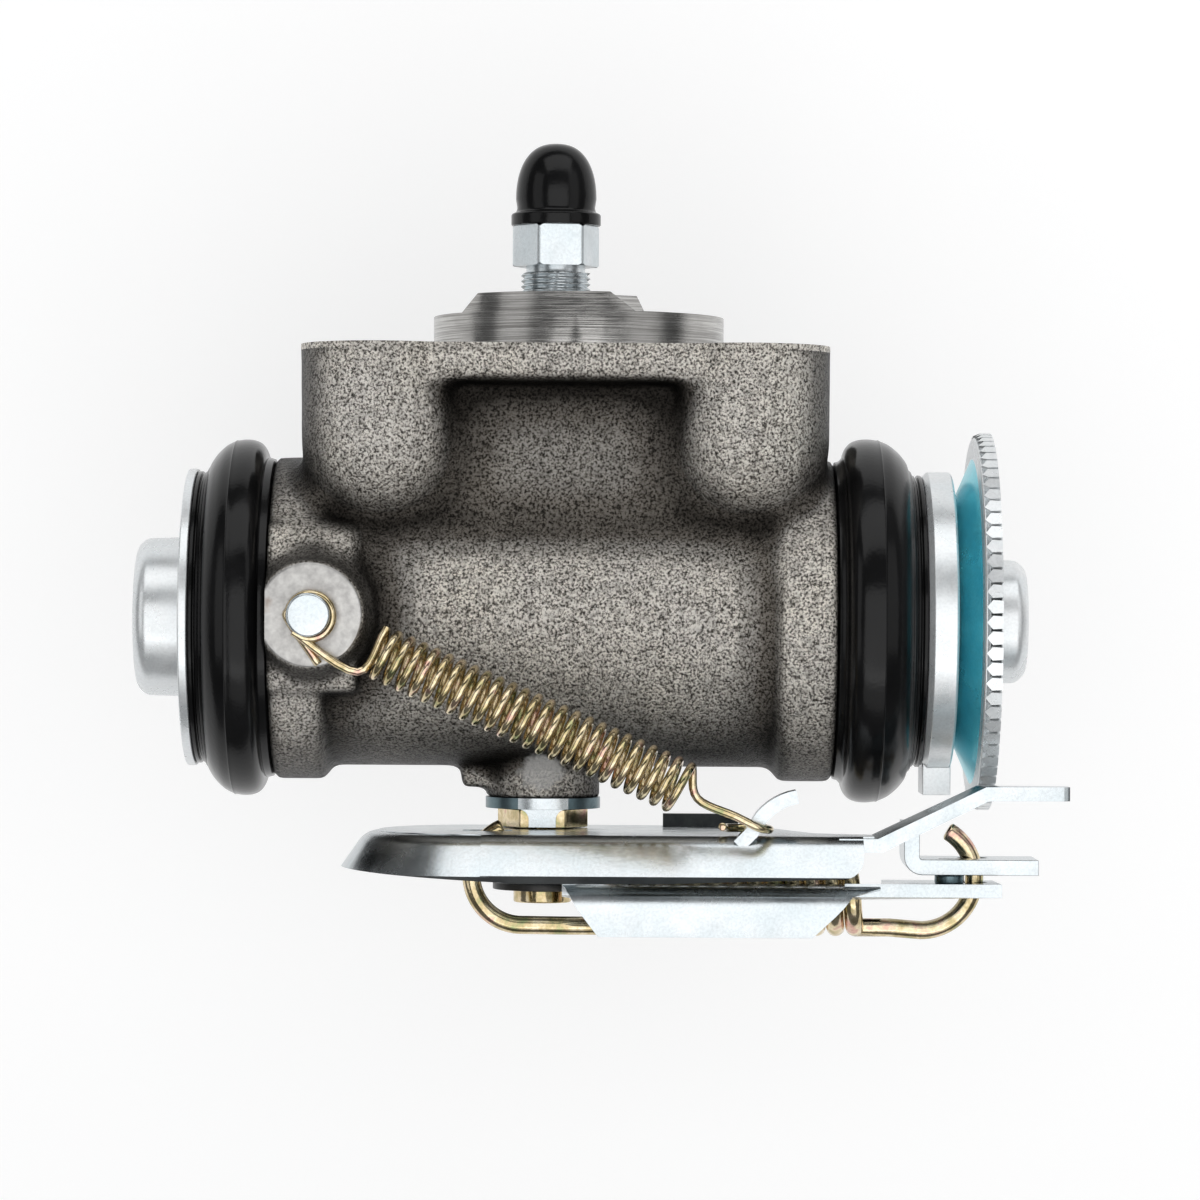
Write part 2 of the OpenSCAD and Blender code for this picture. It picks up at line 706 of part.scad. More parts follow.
// Plate under the pivot boss, its tab bent down over a flat of the hex
module lock_plate() {
    tab_half = 1.95;
    tab_fillet = 1.5;
    tab_y = -stud_hex_af / 2 - 0.1;
    tab_low = lever_top + gap;
    tab_in = 0.4;
    tab_right = concat([[tab_half, boss_z], [tab_half, lock_z + tab_in]],
        arc([tab_half + tab_fillet, lock_z - tab_fillet], tab_fillet, 90, 180, 6), [[tab_half, tab_low]]);
    color([0.78, 0.8, 0.83]) translate([pivot_x, 0, 0]) difference() {
        union() {
            translate([0, 0, lock_z]) cylinder(h = lock_t, r = boss_r + 0.1);
            across(tab_y - lock_t, tab_y) polygon(concat(tab_right,
                [for (i = [len(tab_right) - 1:-1:0]) [-tab_right[i][0], tab_right[i][1]]]));
        }
        translate([0, 0, lock_z - 1]) cylinder(h = lock_t + 2, r = stud_r);
    }
}

module pivot_stud() {
    color([0.83, 0.71, 0.42]) translate([pivot_x, 0, 0]) difference() {
        union() {
            translate([0, 0, stud_end]) cylinder(h = boss_z + stud_depth - stud_end, r = stud_r);
            translate([0, 0, lock_z - stud_hex_h]) hex(stud_hex_af, stud_hex_h);
        }
        translate([0, 0, clip_bot]) difference() {
            cylinder(h = clip_t, r = stud_r + 1);
            translate([0, 0, -1]) cylinder(h = clip_t + 2, r = stud_r - clip_groove);
        }
    }
}

module pivot_bush() {
    color([0.6, 0.58, 0.5]) translate([pivot_x, 0, clip_top]) difference() {
        cylinder(h = bush_top - clip_top, r = stud_r + 2);
        translate([0, 0, -1]) cylinder(h = bush_l + 2, r = stud_r);
    }
}

// Retaining clip: a washer slit towards the back, snapped into the stud's groove
module pivot_clip() {
    slit = 2 * (stud_r - clip_groove) - 0.4;
    color([0.12, 0.12, 0.13]) translate([pivot_x, 0, clip_bot]) difference() {
        cylinder(h = clip_t, r = clip_r);
        translate([0, 0, -1]) cylinder(h = clip_t + 2, r = stud_r - clip_groove);
        translate([-slit / 2, 0, -1]) cube([slit, clip_r + 1, clip_t + 2]);
    }
}

// Front flange of the upper lever, with its rounded toe, before its lower edge is cut
module lever_flange() {
    section = bend_section(sheet, front_bend_r, front_bend, front_leg);
    level = lever_bot - front_bend_r;
    translate([toe_x, front_y, level]) rotate([90, 0, 90]) mirror([1, 0, 0])
        linear_extrude(lever_right - toe_x) polygon(section);
    translate([toe_x, front_y + toe_r + toe_back, level - toe_back]) rotate([0, 0, 170])
        rotate_extrude(angle = 106)
            translate([toe_r, 0]) polygon(section);
}

// Outline of the upper lever from the front: its lower edge rises to the toe and to the right
module lever_outline() {
    corner = 3;
    low = lever_top - 6.7;
    left = toe_x - toe_r - 8;
    rise = 1.6;
    polygon(concat([[left, lever_top + 1], [left, low + rise], [pivot_x - 2, low], [12, low + 0.1]],
        arc([lever_right - corner, low + 1 + corner], corner, -90, 0, 6), [[lever_right, lever_top + 1]]));
}

// Flat of the upper lever from above
module lever_plan() {
    translate([toe_x, front_y + toe_r]) circle(r = toe_r);
    polygon([[toe_x, front_y], [arm_start, front_y], [arm_start, -16], [arm_start - 8, -13],
        [arm_start - 16, lip_y + sheet], [pivot_x, stud_r + 5], [toe_x, front_y + 2 * toe_r]]);
}

// Arm that reaches in front of the wheel's rim: a ramp and a flat end
module lever_arm() {
    root = lever_top - 2 * toe_back;
    profile = ribbon([[arm_start - 6, root], [arm_start, root], [arm_knee, arm_top],
        [arm_end + 10, arm_top]], sheet);
    intersection() {
        translate([arm_knee, -20, 0]) rotate([0, 0, arm_skew]) translate([-arm_knee, 20, 0])
            across(-trim / 2, 0) polygon(profile);
        translate([0, 0, lever_bot - 5]) linear_extrude(20) polygon([[arm_start - 5, front_y - 1.6],
            [arm_knee, arm_rear - 6.4], [arm_end - 1, arm_rear - 5], [arm_end, arm_rear - 4.2],
            [arm_end, arm_rear - 0.8], [arm_end - 0.8, arm_rear], [arm_knee - 2, arm_rear],
            [arm_start - 5, arm_rear + 1.2]]);
    }
}

// Tab for the return spring's hook
module spring_tab() {
    across(tab_rear - tab_w, tab_rear) polygon(ribbon(concat([[tab_x, lever_top - 0.6],
        [tab_x + 1.8, lever_top + 1.2]],
        arc([tab_x + 10.3, lever_top - 2.6], 9.3, 140, 100, 6)), sheet - 0.1));
}

module adjuster_lever() {
    color([0.8, 0.82, 0.85]) difference() {
        union() {
            translate([0, 0, lever_bot]) linear_extrude(sheet) lever_plan();
            intersection() {
                lever_flange();
                across(-trim / 2, 0) lever_outline();
            }
            lever_arm();
            spring_tab();
            translate([lip_x, lip_y, lever_bot]) cube([lip_l, sheet, sheet + lip_h]);
        }
        translate([pivot_x, 0, lever_bot - 1]) cylinder(h = sheet + 2, r = stud_r + run_fit);
        translate([slot_left, coil_y - hook_hole_r, lever_bot - 1])
            cube([slot_right - slot_left, 2 * hook_hole_r, sheet + 2]);
    }
}

// Deep front flange of the lower lever, cut to a trapezium
module trip_flange() {
    section = bend_section(sheet, trip_bend_r, trip_bend, trip_leg);
    intersection() {
        translate([trip_left, trip_front, strip_bot - trip_bend_r]) rotate([90, 0, 90]) mirror([1, 0, 0])
            linear_extrude(trip_right + 4 - trip_left) polygon(section);
        across(-trim / 2, 0) polygon([[trip_left, strip_top + 1], [trip_left, strip_bot + 1.4],
            [trip_left + 5.1, trip_bottom], [trip_right - 5.6, trip_bottom], [trip_right, strip_bot],
            [trip_right + 4, strip_bot + 1], [trip_right + 4, strip_top + 1]]);
    }
}

module trip_lever() {
    riser = 2;
    riser_y = front_y + 0.5;
    color([0.8, 0.82, 0.85]) difference() {
        union() {
            trip_flange();
            translate([trip_left, trip_front, strip_bot])
                cube([tongue_start - trip_left, strip_rear - trip_front, sheet]);
            translate([trip_right - 1, tongue_front, strip_bot])
                cube([tongue_end - trip_right + 1, strip_rear - tongue_front, sheet]);
            translate([tongue_start, tongue_front, strip_bot])
                cube([tongue_end - tongue_start, tongue_rear - tongue_front, sheet]);
            translate([trip_left, riser_y, strip_bot])
                cube([riser, strip_rear - riser_y, eye_top - strip_bot]);
            translate([pivot_x - stud_r, riser_y, eye_bot])
                cube([trip_left + riser - pivot_x + stud_r, -riser_y, sheet]);
            translate([pivot_x, 0, eye_bot]) cylinder(h = sheet, r = stud_r + 4);
        }
        translate([pivot_x, 0, eye_bot - 1]) cylinder(h = sheet + 2, r = stud_r + run_fit);
        translate([hook_hole_x, coil_y, strip_bot - 1]) cylinder(h = sheet + 2, r = hook_hole_r);
        translate([rivet_x, rivet_y, strip_bot - 1]) cylinder(h = sheet + 2, r = rivet_r);
    }
}

// Angle on the lower lever's tongue: its leg stands behind the upper lever's arm
module drive_dog() {
    bend = 2.6;
    path = concat([[dog_x, dog_top]], arc([dog_x + bend, dog_bot + bend], bend, 180, 270, 6),
        [[dog_end, dog_bot]]);
    color([0.8, 0.82, 0.85]) difference() {
        across(dog_front, tongue_rear) polygon(ribbon(path, -dog_t));
        translate([hook_hole_x, coil_y, dog_bot - 1]) cylinder(h = dog_t + 2, r = hook_hole_r);
        translate([rivet_x, rivet_y, dog_bot - 1]) cylinder(h = dog_t + 2, r = rivet_r);
    }
}

// Rivet with a shoulder between the two sheets and ends flush with their outer faces
module dog_rivet() {
    shoulder = 0.6;
    color([0.5, 0.5, 0.52]) translate([rivet_x, rivet_y, 0]) {
        translate([0, 0, strip_bot]) cylinder(h = dog_bot + dog_t - strip_bot, r = rivet_r);
        translate([0, 0, strip_top]) cylinder(h = dog_bot - strip_top, r = rivet_r + shoulder);
    }
}

// Overload spring: two open hooks in one upright plane and the coils between them
function overload_path() = let (
    per_turn = 12,
    steps = overload_turns * per_turn,
    low = coil_z - coil_r)
    concat(
        [for (i = [0:10]) let (g = 112 + 158 * i / 10)
            [hook_l_x + hook_l_r * cos(g), coil_y, hook_z + hook_l_r * sin(g)]],
        [for (i = [0:steps]) let (g = 360 * i / per_turn - 90)
            [coil_left + (coil_right - coil_left) * i / steps, coil_y + coil_r * cos(g),
                coil_z + coil_r * sin(g)]],
        [for (i = [0:10]) let (g = -90 + 151 * i / 10)
            [hook_r_x + hook_r_r * cos(g), coil_y, hook_z + hook_r_r * sin(g)]]);

module overload_spring() {
    color([0.83, 0.71, 0.42]) wire(overload_path(), overload_wire / 2, [0, 1, 0], 10);
}

cast_body();
bleed_screw();
bleed_cap();
left_boot();
right_boot();
left_piston();
right_piston();
left_cup();
right_cup();
left_spreader();
right_spreader();
centre_spring();
fixed_tappet();
adjuster_collar();
adjuster_nut();
star_wheel();
adjuster_screw();
anchor_pin();
return_spring();
lock_plate();
pivot_stud();
pivot_bush();
pivot_clip();
adjuster_lever();
trip_lever();
drive_dog();
dog_rivet();
overload_spring();
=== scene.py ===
"""Looks of a drum brake wheel cylinder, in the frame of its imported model."""

import math

import bmesh
import bpy
import numpy as np
from mathutils import Matrix, Vector

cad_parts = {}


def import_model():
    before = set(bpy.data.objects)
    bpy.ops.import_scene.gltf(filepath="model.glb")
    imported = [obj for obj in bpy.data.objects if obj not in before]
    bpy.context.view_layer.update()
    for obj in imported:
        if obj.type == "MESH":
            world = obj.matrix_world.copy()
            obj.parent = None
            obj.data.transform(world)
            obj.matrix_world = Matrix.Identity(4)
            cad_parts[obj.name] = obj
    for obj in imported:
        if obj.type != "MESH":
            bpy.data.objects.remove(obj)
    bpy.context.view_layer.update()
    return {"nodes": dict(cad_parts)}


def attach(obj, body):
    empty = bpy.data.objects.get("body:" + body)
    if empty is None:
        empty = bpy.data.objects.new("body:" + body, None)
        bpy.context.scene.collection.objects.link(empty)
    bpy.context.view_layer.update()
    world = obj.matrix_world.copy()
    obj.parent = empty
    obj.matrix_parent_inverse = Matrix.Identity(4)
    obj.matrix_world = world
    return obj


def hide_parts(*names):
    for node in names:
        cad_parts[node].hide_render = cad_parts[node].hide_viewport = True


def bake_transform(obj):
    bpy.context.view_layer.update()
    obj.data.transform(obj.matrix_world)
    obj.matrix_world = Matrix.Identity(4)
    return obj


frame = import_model()
NODES = frame["nodes"]
MM = 0.001

# Places and sizes of the part, in millimetres
AXIS_Z = -39.0
END_L = -43.5
END_R = 36.8
MID_X = (END_L + END_R) / 2
BORE_R = 15.875
NOSE_R = 20.2
PIVOT_X = -4.8
BOSS_Z = -64.7
LEVER_TOP = -69.2
SHEET = 2.0
SPRING_BOSS = (-37.2, -27.0, -38.5)
SPRING_BOSS_R = 7.4
PIN_R = 2.2


# Mesh helpers

def linked(name, data):
    """Puts a mesh, lamp or camera into the scene as an object."""
    piece = bpy.data.objects.new(name, data)
    bpy.context.scene.collection.objects.link(piece)
    return piece


def edit(mesh, change):
    """Changes a mesh in its editable form."""
    bm = bmesh.new()
    bm.from_mesh(mesh)
    change(bm)
    bm.to_mesh(mesh)
    bm.free()


def face_out(bm):
    bmesh.ops.recalc_face_normals(bm, faces=bm.faces)


def merge_points(bm):
    bmesh.ops.remove_doubles(bm, verts=bm.verts, dist=0.002 * MM)
    face_out(bm)


def merge_flats(bm):
    bmesh.ops.dissolve_limit(bm, angle_limit=math.radians(1.5), verts=bm.verts, edges=bm.edges)


def finish_piece(name, mesh, sharp):
    """Makes an object that is smooth apart from edges sharper than the given degrees."""
    mesh.shade_smooth()
    mesh.set_sharp_from_angle(angle=math.radians(sharp))
    return linked(name, mesh)


def new_piece(name, verts, faces, sharp=35, flats=False):
    """Makes an object from points in millimetres, its flat faces shaded flat on request."""
    mesh = bpy.data.meshes.new(name)
    mesh.from_pydata([tuple(c * MM for c in v) for v in verts], [], faces)
    edit(mesh, face_out)
    piece = finish_piece(name, mesh, sharp)
    return weighted(piece) if flats else piece


def applied(piece):
    """The mesh of a piece with its modifiers applied. The piece itself is removed."""
    graph = bpy.context.evaluated_depsgraph_get()
    mesh = bpy.data.meshes.new_from_object(piece.evaluated_get(graph))
    bpy.data.objects.remove(piece)
    return mesh


def weighted(piece):
    """The piece again, with normals that keep its flat faces flat beside rounded edges."""
    name = piece.name
    piece.modifiers.new("flats", "WEIGHTED_NORMAL").keep_sharp = True
    return linked(name, applied(piece))


def rounded(piece, width, segments, corner):
    """The mesh of a piece with its edges rounded where they turn by more than a corner's degrees."""
    bevel = piece.modifiers.new("edges", "BEVEL")
    bevel.width = width * MM
    bevel.segments = segments
    bevel.limit_method = "ANGLE"
    bevel.angle_limit = math.radians(corner)
    return applied(piece)


def copied(node, name):
    """A copy of a CAD node's mesh, its points merged."""
    mesh = NODES[node].data.copy()
    mesh.materials.clear()
    edit(mesh, merge_points)
    return linked(name, mesh)


def refined(node, name, width):
    """A copy of a CAD node with its sharp edges rounded."""
    piece = copied(node, name)
    edit(piece.data, merge_flats)
    return weighted(finish_piece(name, rounded(piece, width, 3, 32), 60))


# Outlines, turned forms and wire

def angle(k, count):
    return 2 * math.pi * k / count


def fillet(points, radius, steps=4, closed=False):
    """Rounds the corners of a profile."""
    pts = [Vector(p) for p in points]
    n = len(pts)
    out = []
    for i, p in enumerate(pts):
        if not closed and i in (0, n - 1):
            out.append(p)
            continue
        a, b = pts[i - 1] - p, pts[(i + 1) % n] - p
        cut = min(radius, 0.45 * a.length, 0.45 * b.length)
        start, end = p + a.normalized() * cut, p + b.normalized() * cut
        for k in range(steps + 1):
            t = k / steps
            out.append(start * (1 - t) ** 2 + p * 2 * t * (1 - t) + end * t ** 2)
    return [(q.x, q.y) for q in out]


def lathe(profile, place, segments=128, closed=False):
    """Points and faces of a profile of (distance, radius) turned about an axis.
    place(u, a, b) gives the point at distance u with the two radial coordinates."""
    verts, rows = [], []
    for u, r in profile:
        if r < 1e-6:
            rows.append([len(verts)])
            verts.append(place(u, 0, 0))
            continue
        rows.append(list(range(len(verts), len(verts) + segments)))
        for k in range(segments):
            g = angle(k, segments)
            verts.append(place(u, r * math.cos(g), r * math.sin(g)))
    faces = []
    pairs = list(zip(rows, rows[1:])) + ([(rows[-1], rows[0])] if closed else [])
    for a, b in pairs:
        for k in range(segments):
            j = (k + 1) % segments
            quad = [a[k % len(a)], a[j % len(a)], b[j % len(b)], b[k % len(b)]]
            faces.append(list(dict.fromkeys(quad)))
    return verts, [f for f in faces if len(f) > 2]


def along_bore(x=0.0, side=1):
    """Place on the bore's axis, counted from x towards one side."""
    return lambda u, a, b: (x + side * u, a, AXIS_Z + b)


def ring_faces(rings, sides):
    """Faces between neighbouring rings of points."""
    faces = []
    for low in range(0, (rings - 1) * sides, sides):
        for k in range(sides):
            j = (k + 1) % sides
            faces.append([low + k, low + j, low + sides + j, low + sides + k])
    return faces


def end_faces(rings, sides):
    """The two faces that close a row of rings."""
    return [list(range(sides))[::-1], list(range((rings - 1) * sides, rings * sides))]


def join(*parts):
    """Puts several (points, faces) together."""
    verts, faces = [], []
    for v, f in parts:
        base = len(verts)
        verts += list(v)
        faces += [[i + base for i in face] for face in f]
    return verts, faces


def smooth_path(points, per=6):
    """Resamples points with a smooth curve through them."""
    pts = [Vector(p) for p in points]
    pts = [pts[0] * 2 - pts[1]] + pts + [pts[-1] * 2 - pts[-2]]
    out = []
    for i in range(1, len(pts) - 2):
        a, b, c, d = pts[i - 1:i + 3]
        for k in range(per):
            t = k / per
            out.append(0.5 * (2 * b + (c - a) * t + (2 * a - 5 * b + 4 * c - d) * t * t
                              + (3 * b - a - 3 * c + d) * t ** 3))
    return out + [pts[-2]]


def tube(path, radius, sides):
    """Round wire along a path, its cut ends slightly rounded."""
    pts = [Vector(p) for p in path]
    n = len(pts)
    tangents = [(pts[min(i + 1, n - 1)] - pts[max(i - 1, 0)]).normalized() for i in range(n)]
    inset, end_scale = 0.18 * radius, 0.72
    rings = [(pts[0], tangents[0], end_scale), (pts[0] + tangents[0] * inset, tangents[0], 1.0)]
    rings += [(p, t, 1.0) for p, t in zip(pts[1:-1], tangents[1:-1])]
    rings += [(pts[-1] - tangents[-1] * inset, tangents[-1], 1.0), (pts[-1], tangents[-1], end_scale)]
    normal = Vector((0, 1, 0))
    verts = []
    for centre, t, scale in rings:
        normal = (normal - t * normal.dot(t)).normalized()
        side = t.cross(normal)
        for k in range(sides):
            g = angle(k, sides)
            verts.append(centre + (normal * math.cos(g) + side * math.sin(g)) * radius * scale)
    return verts, ring_faces(len(rings), sides) + end_faces(len(rings), sides)


# Materials

class Nodes:
    """Short calls for a material's nodes."""

    def __init__(self, name):
        self.material = bpy.data.materials.new(name)
        self.material.use_nodes = True
        self.tree = self.material.node_tree
        self.shader = self.tree.nodes["Principled BSDF"]
        self.place = self.tree.nodes.new("ShaderNodeTexCoord").outputs["Object"]

    def put(self, value, socket):
        """Feeds a socket from another socket, a colour in a tuple, or a plain value."""
        if isinstance(value, bpy.types.NodeSocket):
            self.tree.links.new(value, socket)
        elif isinstance(value, tuple):
            socket.default_value = (*value, 1)
        else:
            socket.default_value = value

    def feed(self, node, values):
        for name, value in values.items():
            self.put(value, node.inputs[name.replace("_", " ")])

    def add(self, kind, **values):
        """A new node with the named inputs fed."""
        node = self.tree.nodes.new(kind)
        self.feed(node, values)
        return node

    def stretch(self, scale):
        return self.add("ShaderNodeMapping", Vector=self.place, Scale=list(scale)).outputs["Vector"]

    def noise(self, scale, detail=3.0, rough=0.55, place=None):
        node = self.add("ShaderNodeTexNoise", Scale=scale, Detail=detail, Roughness=rough,
                        Vector=place or self.place)
        return node.outputs["Fac"]

    def blob(self, centre, radii):
        """Distance from a centre in millimetres, counted in the given radii."""
        node = self.add("ShaderNodeMapping", Vector=self.place, Scale=[1 / (r * MM) for r in radii],
                        Location=[-c / r for c, r in zip(centre, radii)])
        size = self.tree.nodes.new("ShaderNodeVectorMath")
        size.operation = "LENGTH"
        self.put(node.outputs["Vector"], size.inputs[0])
        return size.outputs["Value"]

    def attribute(self, name):
        node = self.tree.nodes.new("ShaderNodeAttribute")
        node.attribute_name = name
        return node.outputs["Fac"]

    def ramp(self, value, stops):
        """Colours by value: the two outer stops first, then those between."""
        node = self.add("ShaderNodeValToRGB", Fac=value)
        ramp = node.color_ramp
        for k, (at, colour) in enumerate(stops):
            stop = ramp.elements[k] if k < 2 else ramp.elements.new(at)
            stop.position = at
            stop.color = (*colour, 1) if len(colour) == 3 else (colour[0],) * 3 + (1,)
        return node.outputs["Color"]

    def mix(self, a, b, share, how="MIX"):
        node = self.tree.nodes.new("ShaderNodeMix")
        node.data_type = "RGBA"
        node.blend_type = how
        for k, value in ((0, share), (6, a), (7, b)):
            self.put(value, node.inputs[k])
        return node.outputs[2]

    def shaded(self, base, value, stops, share=1.0):
        """A base colour darkened by a ramp over a value."""
        return self.mix(base, self.ramp(value, stops), share, "MULTIPLY")

    def math(self, how, a, b):
        node = self.tree.nodes.new("ShaderNodeMath")
        node.operation = how
        for k, value in enumerate((a, b)):
            self.put(value, node.inputs[k])
        return node.outputs[0]

    def span(self, value, low, high):
        """The middle of a noise stretched from low to high."""
        node = self.add("ShaderNodeMapRange", Value=value, From_Min=0.3, From_Max=0.7,
                        To_Min=low, To_Max=high)
        return node.outputs["Result"]

    def bump(self, height, distance, strength):
        node = self.add("ShaderNodeBump", Strength=strength, Distance=distance, Height=height)
        self.put(node.outputs["Normal"], self.shader.inputs["Normal"])

    def set(self, **values):
        self.feed(self.shader, values)
        return self.material


# Centre and radii of a pale disc painted as the highlight on the pivot boss's front.
BOSS_HIGHLIGHT = (-4.9, -8.4, -61.0)
BOSS_HIGHLIGHT_RADII = (3.5, 4.0, 3.0)


def cast_iron():
    """Sand cast skin: sharp dark and bright grain, with painted shade in its hollows and on its flanks, a
    painted highlight on its crowns and a pale disc painted as the highlight on the pivot boss.
    """
    n = Nodes("cast_iron_skin")
    grain = n.noise(2800, 5, 0.68)
    coarse = n.noise(700, 2)
    broad = n.noise(60, 2)
    base = n.ramp(grain, [(0.40, (0.07, 0.065, 0.058)), (0.54, (0.96, 0.925, 0.865)),
                          (0.47, (0.46, 0.435, 0.395)), (0.58, (1.0, 0.98, 0.935))])
    base = n.shaded(base, coarse, [(0.36, (0.66,)), (0.58, (1.0,))], 0.8)
    # Painted shade: darker the deeper a point lies in a hollow. Painted highlight: lighter on the crowns,
    # such as the lugs' domes.
    base = n.shaded(base, n.attribute("hollow"), [
        (0.38, (1.0,)), (0.76, (0.05, 0.047, 0.044)), (0.44, (0.94,)), (0.468, (0.60,)), (0.50, (0.50,)),
        (0.57, (0.26, 0.25, 0.24))])
    # Painted shade on the flanks: darker where the skin faces neither the front nor the back.
    base = n.shaded(base, n.attribute("flank"), [
        (0.20, (0.06,)), (0.95, (1.0,)), (0.60, (0.34,)), (0.82, (0.90,))])
    base = n.shaded(base, broad, [(0.35, (0.88, 0.86, 0.85)), (0.65, (1.0, 0.97, 0.93))], 0.8)
    # Painted highlight: a pale disc with a ragged edge on the pivot boss.
    spot = n.math("MULTIPLY", n.math("ADD", n.blob(BOSS_HIGHLIGHT, BOSS_HIGHLIGHT_RADII), coarse), 0.5)
    boss_highlight = n.ramp(spot, [(0.62, (1.0,)), (0.76, (0.0,))])
    base = n.mix(base, (0.80, 0.79, 0.78), n.math("MULTIPLY", boss_highlight, 0.7))
    height = n.math("ADD", grain, n.math("MULTIPLY", coarse, 0.9))
    n.bump(height, 0.4 * MM, 0.8)
    return n.set(Base_Color=base, Metallic=0.9, Roughness=n.span(coarse, 0.36, 0.48))


def machined(name, dark, light, rough=(0.24, 0.42), scale=(60, 60, 5200)):
    """Turned or milled metal: fine tool marks along one direction and a few rusty stains."""
    n = Nodes(name)
    marks = n.noise(1.0, 3, 0.6, n.stretch(scale))
    broad = n.noise(240, 3)
    stains = n.noise(120, 4, 0.6)
    base = n.ramp(marks, [(0.3, dark), (0.7, light)])
    base = n.shaded(base, broad, [(0.3, (0.72,)), (0.7, (1.0,))], 0.7)
    rusty = n.ramp(stains, [(0.68, (0.0,)), (0.78, (0.55,))])
    base = n.mix(base, (0.23, 0.13, 0.07), rusty)
    n.bump(marks, 0.06 * MM, 0.5)
    return n.set(Base_Color=base, Metallic=1.0, Roughness=n.span(broad, *rough))


def plated(name, low, high, rough, tint=None, metal=1.0):
    """Bright plating with a cloudy tint and fine handling marks."""
    n = Nodes(name)
    cloud = n.noise(160, 4, 0.6)
    fine = n.noise(2600, 2)
    marks = n.noise(1.0, 2, 0.5, n.stretch((900, 500, 2200)))
    base = n.ramp(cloud, [(0.32, low), (0.68, high)])
    if tint:
        base = n.mix(base, tint, n.span(n.noise(230, 3), 0.0, 0.55))
    base = n.shaded(base, fine, [(0.35, (0.86,)), (0.6, (1.0,))], 0.6)
    n.bump(marks, 0.02 * MM, 0.4)
    return n.set(Base_Color=base, Metallic=metal, Roughness=n.span(cloud, *rough))


def yellow_zinc():
    """Plated wire with patches from green over gold to pink."""
    n = Nodes("yellow_zinc_wire")
    hue = n.noise(330, 3, 0.6)
    fine = n.noise(2400, 2)
    base = n.ramp(hue, [(0.32, (0.34, 0.36, 0.18)), (0.68, (0.66, 0.41, 0.33)),
                        (0.44, (0.54, 0.43, 0.24)), (0.57, (0.78, 0.66, 0.44))])
    base = n.shaded(base, fine, [(0.35, (0.78,)), (0.6, (1.0,))], 0.6)
    n.bump(fine, 0.02 * MM, 0.4)
    return n.set(Base_Color=base, Metallic=1.0, Roughness=n.span(hue, 0.10, 0.18))


def rubber():
    n = Nodes("moulded_rubber")
    fine = n.noise(1900, 3)
    broad = n.noise(140, 3)
    base = n.ramp(broad, [(0.3, (0.003, 0.003, 0.0032)), (0.72, (0.007, 0.007, 0.0074))])
    n.bump(fine, 0.05 * MM, 0.35)
    return n.set(Base_Color=base, Metallic=0.0, Roughness=n.span(broad, 0.15, 0.22), Specular_IOR_Level=0.22)


def black_steel():
    n = Nodes("blackened_steel")
    cloud = n.noise(300, 3)
    base = n.ramp(cloud, [(0.3, (0.02, 0.02, 0.021)), (0.7, (0.06, 0.058, 0.056))])
    n.bump(n.noise(2000, 2), 0.03 * MM, 0.4)
    return n.set(Base_Color=base, Metallic=0.8, Roughness=n.span(cloud, 0.3, 0.5))


MATERIALS = {
    "iron": cast_iron(),
    "turned": machined("turned_iron", (0.20, 0.192, 0.182), (0.62, 0.61, 0.59), (0.16, 0.26)),
    "spot": machined("spot_faced_iron", (0.42, 0.41, 0.40), (0.62, 0.61, 0.59), (0.34, 0.5), (900, 60, 900)),
    "steel": machined("turned_steel", (0.42, 0.43, 0.44), (0.68, 0.69, 0.70)),
    "zinc": plated("bright_zinc", (0.52, 0.555, 0.57), (0.74, 0.77, 0.79), (0.19, 0.31), (0.58, 0.65, 0.68)),
    # Lighter, less metallic copy of the bright zinc: painted light on the parts that show whitest, the
    # tappets, the wheel and the collar.
    "pale": plated("painted_light_zinc", (0.74, 0.765, 0.775), (0.92, 0.93, 0.935), (0.24, 0.36),
                   (0.80, 0.85, 0.87), 0.6),
    # Dark copy of the bright zinc, painted on as shade: the lock plate, the arm's slope and the dog's rivet.
    "shade": plated("painted_shade_zinc", (0.07, 0.11, 0.125), (0.20, 0.255, 0.275), (0.22, 0.34),
                    (0.10, 0.17, 0.195)),
    # Grey copy of the zinc, painted on the sheets' rounded edges as shade so that they show as outlines.
    "rim": plated("painted_edge_shade", (0.12, 0.135, 0.14), (0.26, 0.28, 0.285), (0.5, 0.6)),
    # Near-black copy of the zinc, painted on as deep shade: the upper lever's lower edge and lip, and the
    # floors between the wheel's teeth.
    "cut": plated("deep_painted_shade", (0.02, 0.022, 0.024), (0.09, 0.098, 0.10), (0.4, 0.6)),
    "teal": plated("blue_zinc", (0.09, 0.62, 0.78), (0.22, 0.86, 0.96), (0.20, 0.28),
                   (0.12, 0.72, 0.86), 0.7),
    "gold": yellow_zinc(),
    "rubber": rubber(),
    "black": black_steel(),
}


def dress(piece, look, nodes=(), body=None, blend=None):
    """Gives a piece its material, its body and the nodes it stands for."""
    piece.data.materials.clear()
    piece.data.materials.append(MATERIALS[look])
    if nodes:
        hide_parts(*nodes)
    if blend:
        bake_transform(piece)
    else:
        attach(piece, body)
    return piece


def paint_faces(piece, look, chosen):
    """Gives another material to the faces that a test picks by centre, normal and area in millimetres."""
    piece.data.materials.append(MATERIALS[look])
    index = len(piece.data.materials) - 1
    for polygon in piece.data.polygons:
        if chosen(polygon.center / MM, polygon.normal, polygon.area / MM ** 2):
            polygon.material_index = index


# Casting

VOXEL = 0.62
SKIN_TOP = -0.45
TOP_SLICE = -0.9
DRAWN = [0.5]
RELAXED = [0.62, -0.54]


def soft_step(value, low, high):
    t = np.clip((value - low) / (high - low), 0, 1)
    return t * t * (3 - 2 * t)


